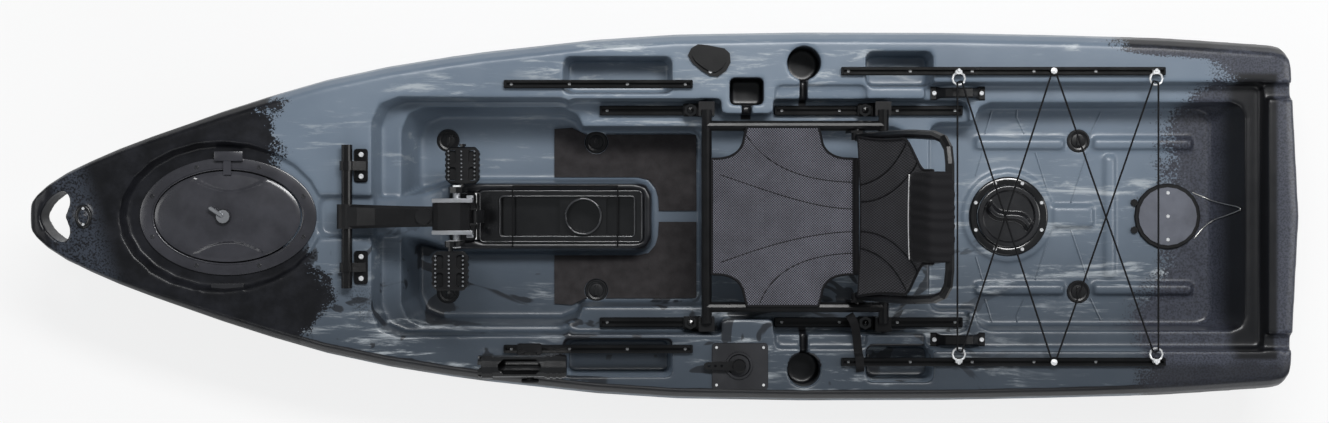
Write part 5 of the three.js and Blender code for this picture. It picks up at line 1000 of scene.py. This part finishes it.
def pad_mesh():
    """A soft sleeve over the top bar, fuller in its middle, with creases across it."""
    points = []
    middle, tall = (PAD.low + PAD.high) / 2, (PAD.high - PAD.low) / 2
    centre, deep = (PAD.front + PAD.aft) / 2, (PAD.aft - PAD.front) / 2
    for i in range(PAD.rows + 1):
        share = 2 * i / PAD.rows - 1
        swell = max(1 - abs(share) ** 6, 0.03) ** 0.5
        for angle in turns(PAD.around):
            c, s = cos(angle), sin(angle)
            up = rounded(s) * tall * (0.9 + 0.1 * swell)
            out = rounded(c) * deep * (0.72 + 0.28 * swell)
            crease = PAD.crease * sin(share * 26 + s * 2.4 + sin(share * 7)) * swell
            points.append(leaned((out + centre + crease * c, PAD.half * share, middle + up + crease * s)))
    return ring_mesh(points, PAD.rows + 1, PAD.around)


trim_path = [leaned((TRIM.x, side * TRIM.half, TRIM.z - TRIM.dip * (1 - side * side)))
             for side in (2 * i / TRIM.steps - 1 for i in range(TRIM.steps + 1))]
put("head_trim", tube_mesh(trim_path, TRIM.radius, 8), "white_trim", "back_body", "mesh_cloth")
head_cushion = put("head_cushion", pad_mesh(), "pad_cloth", "back_body", "mesh_cloth", ["head_pad"])


# Drain plugs, which the remeshed hull needs again

DRAINS = [(-0.177, 0.186, FOOT_FLOOR), (-0.549, 0.190, FOOT_FLOOR), (1.020, 0.187, TANK_FLOOR)]
DRAIN_CUP = [(0.0285, -0.004), (0.0285, 0.001), (0.0268, 0.0026), (0.0240, 0.0026), (0.0225, 0.0006),
             (0.0180, -0.0004), (0.0165, 0.0014), (0.0100, 0.0022)]
DRAIN_BAR = Sizes(half_x=0.0045, half_y=0.0125, top=0.0062)


def drain_bar(x, y, z):
    bar = DRAIN_BAR
    return block(x - bar.half_x, x + bar.half_x, y - bar.half_y, y + bar.half_y, z, z + bar.top)


drain_spots = [(x, way * y, z) for x, y, z in DRAINS for way in WAYS]
gathered("drain_plugs", [lathe_mesh(DRAIN_CUP, spot, 40) for spot in drain_spots], "drain_rubber")
drain_bars = gathered("drain_bars", [drain_bar(*spot) for spot in drain_spots], "drain_rubber", smooth=False)
soften(drain_bars, 0.0012)


# The two hatches, as smooth ovals and rounds

HATCH = Sizes(
    x=-1.052, ring=(0.212, 0.141), mouth=(0.178, 0.112), lid=(0.1745, 0.1085), low=0.3122, ring_top=0.3184,
    bead=0.0016, lid_low=0.3150, lid_edge=0.3225, rise=0.0100, power=2.4, rivets=(0.196, 0.127),
    arc_mid=0.059, arc_bend=3.9, arc_x=-1.046, arc_soft=0.005, recess=0.0034, rib=0.0014, rib_half=0.0032,
    margin_share=0.05, edge_share=0.02, edge_drop=0.0012)
RIVET = [(0.0052, -0.001), (0.0052, 0.0006), (0.0040, 0.0013), (0.0015, 0.0010)]
# Boxes: x, y and z, each from and to
HINGE_BASE = (-1.083, -1.015, 0.133, 0.156, 0.3125, 0.3295)
LID_ARM = (-1.061, -1.043, 0.100, 0.140, 0.3215, 0.3275)
HATCH_CLIP = (-1.092, -1.014, -0.180, -0.160, 0.3105, 0.3200)
ROUND = Sizes(
    x=0.845, ring=0.098, mouth=0.0785, low=0.1583, top=0.1644, lid=0.0765, lid_low=0.1600, face=0.1650,
    rim=0.1720, grip=0.0165, grip_half=0.056, turn=-0.55, grip_width=0.0105, sway=0.012, wall_share=0.80,
    edge_share=0.03, edge_drop=0.0014, screws=0.088)


def rim_mesh(x, outer, mouth, outside, inside, sides):
    """An oval ring, from insets and heights up its outside, then outsets and heights down its mouth."""
    rings = [(outer[0] - inset, outer[1] - inset, z) for inset, z in outside]
    rings += [(mouth[0] + outset, mouth[1] + outset, z) for outset, z in inside]
    return oval_mesh(rings, (x, 0), sides, looped=True)


def polar_mesh(x_centre, half, low, height, rows, sides):
    """A closed disc whose top follows a height over its place."""
    shares = [1.0] + [1 - (i / rows) ** 0.9 for i in range(rows)]
    points = []
    for row, share in enumerate(shares):
        for angle in turns(sides):
            x = x_centre + half[0] * share * cos(angle)
            y = half[1] * share * sin(angle)
            points.append((x, y, height(x, y, share) if row else low))
    return ring_mesh(points, len(shares), sides)


def on_ring(x, radius_x, radius_y, count):
    return [(x + radius_x * cos(a), radius_y * sin(a)) for a in turns(count, 0.5)]


def hatch_lid_height(x, y, share):
    """The lid's dome, with a sunk lens beyond an arched rib on either side."""
    beyond = abs(y) - HATCH.arc_mid - HATCH.arc_bend * (x - HATCH.arc_x) ** 2
    margin = min(1, (1 - share) / HATCH.margin_share)
    sunk = eased(beyond / HATCH.arc_soft) * margin
    rib = exp(-((beyond / HATCH.rib_half) ** 2)) * margin
    edge = min(1, (1 - share) / HATCH.edge_share)
    dome = HATCH.lid_edge + HATCH.rise * (1 - share ** HATCH.power) - HATCH.edge_drop * (1 - edge)
    return dome - HATCH.recess * sunk + HATCH.rib * rib


def round_lid_height(x, y, share):
    """A dished face inside a rim, crossed by a curved grip."""
    x -= ROUND.x
    c, s = cos(ROUND.turn), sin(ROUND.turn)
    u = x * c + y * s
    v = y * c - x * s - ROUND.sway * sin(u / ROUND.grip_half * pi * 0.9)
    along = min(max(1.06 - abs(u) / ROUND.grip_half, 0) * 9, 1)
    ridge = exp(-((v / ROUND.grip_width) ** 4)) * along
    wall = clamped((share - ROUND.wall_share) / 0.05)
    edge = min(1, (1 - share) / ROUND.edge_share)
    face = lerp(ROUND.face, ROUND.rim, wall) - ROUND.edge_drop * (1 - edge)
    if share < ROUND.wall_share + 0.04:
        return max(face, ROUND.face + ROUND.grip * ridge)
    return face


low, top = HATCH.low, HATCH.ring_top
hatch_rim = rim_mesh(HATCH.x, HATCH.ring, HATCH.mouth,
                     [(0, low), (0, top - 0.003), (0.001, top - 0.0008), (0.003, top)],
                     [(0.005, top), (0.003, top + HATCH.bead), (0.001, top + HATCH.bead), (0, top), (0, low)],
                     112)
hatch_ring = put("hatch_ring", remade([hatch_rim, block(*HINGE_BASE)]), "hatch_plastic",
                 replaces=["bow_hatch_ring"])
soften(hatch_ring, 0.0014, angle=1.0)
smooth_edges(hatch_ring)
rivet_spots = [(*spot, top) for spot in on_ring(HATCH.x, *HATCH.rivets, 8)]
gathered("hatch_rivets", [lathe_mesh(RIVET, spot, 18) for spot in rivet_spots], "dark_grey_plastic")
hatch_dome = polar_mesh(HATCH.x, HATCH.lid, HATCH.lid_low, hatch_lid_height, 44, 144)
gathered("hatch_lid", [hatch_dome, block(*LID_ARM)], "hatch_plastic", "bow_lid_body",
         replaces=["bow_hatch_lid"])
hatch_clip = put("hatch_clip", block(*HATCH_CLIP), "dark_grey_plastic", smooth=False)
soften(hatch_clip, 0.002, 3)

low, top = ROUND.low, ROUND.top
round_rim = rim_mesh(ROUND.x, (ROUND.ring, ROUND.ring), (ROUND.mouth, ROUND.mouth),
                     [(0.001, low), (0, low + 0.0022), (0.0015, top - 0.0012), (0.004, top)],
                     [(0.002, top), (0, top - 0.001), (0, low)], 96)
gathered("round_ring", [round_rim], "gloss_black", replaces=["round_hatch_ring"])
round_top = polar_mesh(ROUND.x, (ROUND.lid, ROUND.lid), ROUND.lid_low, round_lid_height, 60, 128)
gathered("round_cover", [round_top], "hatch_dark", "round_lid_body", "gloss_black_plastic",
         ["round_hatch_lid"])


# Screws and the bow's eye

# Each kind of rail: x from and to, y, and the height that it stands on
RAILS = {"fore": (-0.392, 0.062, 0.318, DECK), "aft": (0.418, 1.197, 0.349, DECK),
         "seat_front": (-0.164, 0.089, 0.258, SHELF), "seat_rear": (0.262, 0.721, 0.258, SHELF)}
RAIL_SCREW = Sizes(end=0.018, pitch=0.150, rise=0.0032, radius=0.0038, height=0.0012)
HEAD_HEIGHT = 0.0018
BOW_EYE = Sizes(x=-1.388, z=0.351, half_x=0.020, half_y=0.029)
BOW_EYE_SHARES = [(1.0, -0.008), (1.0, 0.003), (0.86, 0.0055), (0.62, 0.0055), (0.52, 0.0015), (0.36, 0.001),
                  (0.22, 0.0035)]
# Screws on both sides: every x, every y, height, radius and height of the head
DECK_SCREWS = [
    ((0.699, 1.172), (0.350,), 0.3245, 0.0045, 0.0020),
    ((BOW_EYE.x,), (0.019,), 0.3570, 0.0035, 0.0015),
    ((0.6485, 0.7635), (0.299,), 0.2580, 0.0056, 0.0022),
    ((CLAMP_SCREWS.x,), CLAMP_SCREWS.y, 0.3320, 0.0062, 0.0022),
]


def screw_head(place, radius, height):
    """A domed head with a socket."""
    profile = [(radius, -height), (radius, height * 0.3), (radius * 0.78, height), (radius * 0.42, height),
               (radius * 0.36, height * 0.35)]
    return lathe_mesh(profile, place, 14)


def mirrored_screws(xs, ys, z, radius, height):
    return [screw_head((x, way * y, z), radius, height) for x in xs for y in ys for way in WAYS]


def rail_screws(x0, x1, y, base):
    """Screws along the slot of a rail on both sides, evenly between its ends."""
    first, last = x0 + RAIL_SCREW.end, x1 - RAIL_SCREW.end
    spans = max(1, round((last - first) / RAIL_SCREW.pitch))
    places = [lerp(first, last, i / spans) for i in range(spans + 1)]
    return mirrored_screws(places, (y,), base + RAIL_SCREW.rise, RAIL_SCREW.radius, RAIL_SCREW.height)


deck_screws = [head for rail in RAILS.values() for head in rail_screws(*rail)]
deck_screws += [screw_head((*spot, ROUND.top + 0.001), 0.0046, HEAD_HEIGHT)
                for spot in on_ring(ROUND.x, ROUND.screws, ROUND.screws, 8)]
deck_screws += [head for row in DECK_SCREWS for head in mirrored_screws(*row)]
gathered("deck_screws", deck_screws, "screw_steel", slot="silver_metal")
put("bow_eye", lathe_mesh(BOW_EYE_SHARES, (BOW_EYE.x, 0, BOW_EYE.z), 48,
                          (BOW_EYE.half_x, BOW_EYE.half_y)), "drain_rubber")


# Pedals and gear housing: cores, pale pins whose colour is a painted highlight, and side plates

PEDAL = {"x": -0.497, "half_x": 0.036, "inner": 0.088, "outer": 0.160, "half_z": 0.004,
         "starboard": 0.245, "port": 0.525}
PEG = Sizes(
    radius=0.0022, foot=0.006, top=0.0165, tip=0.001, rows=(-0.033, -0.002, 0.030), first=0.090, last=0.158,
    count=8)
PLATE = Sizes(
    x0=-0.5515, x1=-0.4560, low=0.396, high=0.4252, inner=0.0325, outer=0.0425, foot=0.0500, foot_x=-0.4720,
    foot_height=0.006)


def pedal_core(side, way):
    z = PEDAL[side]
    core = block(PEDAL["x"] - PEDAL["half_x"], PEDAL["x"] + PEDAL["half_x"], way * PEDAL["inner"],
                 way * PEDAL["outer"], z - PEDAL["half_z"], z + PEDAL["half_z"])
    soften(put(f"pedal_core_{side}", core, "black_plastic", f"pedal_{side}_body", smooth=False), 0.001)


def pedal_pegs(side, way):
    """Rows of small pins across a pedal's upper face, in pale metal whose colour is a painted highlight for
    the glints on the pedal's teeth.
    """
    profile = [(PEG.radius, PEG.foot), (PEG.radius, PEG.top - PEG.tip), (PEG.radius * 0.5, PEG.top)]
    shares = [i / (PEG.count - 1) for i in range(PEG.count)]
    spots = [(PEDAL["x"] + across, way * lerp(PEG.first, PEG.last, share), PEDAL[side])
             for across in PEG.rows for share in shares]
    gathered(f"pedal_pegs_{side}", [lathe_mesh(profile, spot, 10) for spot in spots], "brushed_aluminium",
             f"pedal_{side}_body", "silver_metal")


def side_plates(way):
    """The plate on one side of the gear housing, and its foot."""
    inner, outer, foot = way * PLATE.inner, way * PLATE.outer, way * PLATE.foot
    return [block(PLATE.x0, PLATE.x1, inner, outer, PLATE.low, PLATE.high),
            block(PLATE.foot_x, PLATE.x1, outer, foot, PLATE.low, PLATE.low + PLATE.foot_height)]


for side, way in SIDES:
    pedal_core(side, way)
    pedal_pegs(side, way)
housing_plates = gathered("housing_plates", side_plates(1) + side_plates(-1), "brushed_aluminium",
                          "drive_body", "silver_metal", smooth=False)
soften(housing_plates, 0.0012)


# The tray's lips, a dark block of painted shade in the gap at its fore end, and the lines in the tank floor

TRAY = Sizes(
    x0=-0.466, x1=-0.059, half=0.066, top=0.157, room_x0=-0.414, room_x1=-0.080, room_half=0.050,
    room_corner=0.009, corner=0.010, inset=0.003, drop=0.0006, lip=0.0022, cup_x=-0.207, cup_wall=0.0435,
    cup_top=0.1652, cup_lip=0.0030)
# A dark block filling the gap between the drive's collar and the tray, painted shade: x, y and z, each from
# and to
TRAY_GAP_SHADE = (-0.4716, -0.4640, -0.0575, 0.0575, 0.1492, 0.1530)
PANEL_LINES = [
    [(0.869, 0.268), (0.867, 0.246), (0.886, 0.205)], [(0.914, 0.158), (0.950, 0.044)],
    [(0.806, 0.262), (0.789, 0.205)], [(0.783, 0.158), (0.766, 0.100)],
    [(1.076, 0.258), (1.050, 0.203)], [(1.044, 0.158), (1.002, 0.034)],
]
PANEL_LINE_RADIUS = 0.0024


def rounded_loop(x0, x1, half, z, radius, steps=8):
    """A level rectangle with round corners, symmetric about the middle plane."""
    path = []
    corners = [(x1 - radius, half - radius), (x0 + radius, half - radius),
               (x0 + radius, radius - half), (x1 - radius, radius - half)]
    for quarter, (x, y) in enumerate(corners):
        for i in range(steps + 1):
            angle = (quarter + i / steps) * pi / 2
            path.append((x + radius * cos(angle), y + radius * sin(angle), z))
    return path


def spread(path, pitch=0.012):
    """The same closed path with points close together along its straight runs."""
    path = [Vector(p) for p in path]
    close = []
    for here, there in zip(path, path[1:] + path[:1]):
        count = max(1, round((there - here).length / pitch))
        close += [here.lerp(there, k / count) for k in range(count)]
    return close


def tray_lips():
    """Round beads along the tray's room, along its outer edge and round its cup."""
    inset = TRAY.inset
    room = rounded_loop(TRAY.room_x0, TRAY.room_x1, TRAY.room_half, TRAY.top, TRAY.room_corner)
    outside = rounded_loop(TRAY.x0 + inset, TRAY.x1 - inset, TRAY.half - inset,
                           TRAY.top - TRAY.drop, TRAY.corner)
    cup = [(TRAY.cup_x + TRAY.cup_wall * cos(a), TRAY.cup_wall * sin(a), TRAY.cup_top)
           for a in turns(64)]
    lips = [tube_mesh(spread(loop), TRAY.lip, 12, True) for loop in (room, outside)]
    return lips + [tube_mesh(cup, TRAY.cup_lip, 16, True)]


# The lips' lighter black is a painted highlight
gathered("tray_lips", tray_lips(), "lip_highlight_black", slot="gloss_black_plastic")
# Painted shade: a dark block closes the gap at the tray's fore end
put("tray_gap_shade", block(*TRAY_GAP_SHADE), "drain_rubber", smooth=False)
gathered("panel_lines", [tube_mesh([(x, way * y, TANK_FLOOR) for x, y in line], PANEL_LINE_RADIUS, 8)
                         for line in PANEL_LINES for way in WAYS], "hull_plastic", slot="hull")


# Cords and the strap's end

BUNGEE = Sizes(
    radius=0.0022, z=0.324, wave=0.0028, y=0.321, knob_y=0.338, front=0.699, mid=0.927, aft=1.172)
TRAY_CORD = Sizes(radius=0.002, z=0.1594, low=0.1574, front=-0.382, rear=-0.122, y=0.075, edge=0.01)
LIFT_RADIUS = 0.0013
LIFT_POINTS = [
    (1.303, 0.059, 0.1523), (1.330, 0.048, 0.1524), (1.350, 0.038, 0.166), (1.372, 0.030, 0.201),
    (1.390, 0.024, 0.230), (1.396, 0.018, 0.241), (1.390, 0.012, 0.230), (1.372, 0.002, 0.201),
    (1.350, -0.010, 0.166), (1.330, -0.028, 0.1524), (1.307, -0.055, 0.1523),
]
STRAP = Sizes(half=0.010, thick=0.0022)
STRAP_POINTS = [
    (0.437, -0.2355, 0.315), (0.439, -0.239, 0.325), (0.445, -0.250, 0.330), (0.451, -0.268, 0.323),
    (0.455, -0.290, 0.312), (0.458, -0.312, 0.3045), (0.460, -0.328, 0.3045), (0.461, -0.337, 0.316),
    (0.462, -0.349, 0.3165), (0.463, -0.362, 0.316), (0.464, -0.372, 0.305),
]


def smooth_path(points, steps=6):
    """A curve through the points."""
    points = [Vector(p) for p in points]
    path = []
    for p0, p1, p2, p3 in zip(points[:1] + points, points, points[1:], points[2:] + points[-1:]):
        for k in range(steps):
            t = k / steps
            path.append(0.5 * (2 * p1 + (p2 - p0) * t + (2 * p0 - 5 * p1 + 4 * p2 - p3) * t * t
                               + (3 * p1 - p0 - 3 * p2 + p3) * t ** 3))
    return path + points[-1:]


def bungee_path():
    """Round four D-rings and crossing between two knobs, one length passing over the other."""
    b = BUNGEE
    corners = [
        (b.front - 0.004, b.y), (b.front - 0.004, -b.y), (b.front + 0.006, -b.y - 0.004),
        (b.mid - 0.008, b.knob_y), (b.mid + 0.006, b.knob_y), (b.aft - 0.008, -b.y - 0.004),
        (b.aft + 0.004, -b.y), (b.aft + 0.004, b.y), (b.aft - 0.008, b.y + 0.004),
        (b.mid + 0.006, -b.knob_y), (b.mid - 0.008, -b.knob_y), (b.front + 0.006, b.y + 0.004),
    ]
    rises = {2: 1, 4: -1, 8: 1, 10: -1}
    path = []
    for i, (here, there) in enumerate(zip(corners, corners[1:] + corners[:1])):
        start, end = Vector((*here, b.z)), Vector((*there, b.z))
        steps = 24 if (end - start).length > 0.1 else 3
        for k in range(steps):
            point = start.lerp(end, k / steps)
            point.z += rises.get(i, 0) * b.wave * sin(k / steps * pi)
            path.append(point)
    return path


def tray_cord_path(steps=6):
    """Over the tray near its front, back along its port side under the edge, and over it again."""
    t = TRAY_CORD
    over = t.y - t.edge
    across = [(-t.y, t.low), (-over, t.z), (over, t.z), (t.y, t.low)]
    corners = [Vector((t.front, y, z)) for y, z in across]
    corners += [Vector((t.rear, y, z)) for y, z in reversed(across)]
    return [a.lerp(b, k / steps) for a, b in zip(corners, corners[1:]) for k in range(steps)]


def strap_mesh(path):
    """A flat strap along a path."""
    points = []
    for i, point in enumerate(path):
        along = (path[min(i + 1, len(path) - 1)] - path[max(i - 1, 0)]).normalized()
        flat = UP.cross(along).normalized()
        up = along.cross(flat)
        for a, b in ((-1, -1), (1, -1), (1, 1), (-1, 1)):
            points.append(point + flat * a * STRAP.half + up * b * STRAP.thick / 2)
    return ring_mesh(points, len(path), 4)


put("cargo_elastic", tube_mesh(bungee_path(), BUNGEE.radius, 10, True), "black_cord", slot="black_cord",
    replaces=["cargo_cord"])
put("tray_elastic", tube_mesh(tray_cord_path(), TRAY_CORD.radius, 10), "black_cord", slot="black_cord",
    replaces=["tray_cord"])
put("lift_wire", tube_mesh(smooth_path(LIFT_POINTS), LIFT_RADIUS, 8), "pale_wire", slot="pale_cord",
    replaces=["rudder_line"])
strap_path = smooth_path(STRAP_POINTS)
seat_webbing = put("seat_webbing", strap_mesh(strap_path), "black_cord", "seat_body", "black_cord",
                   ["seat_strap"], smooth=False)
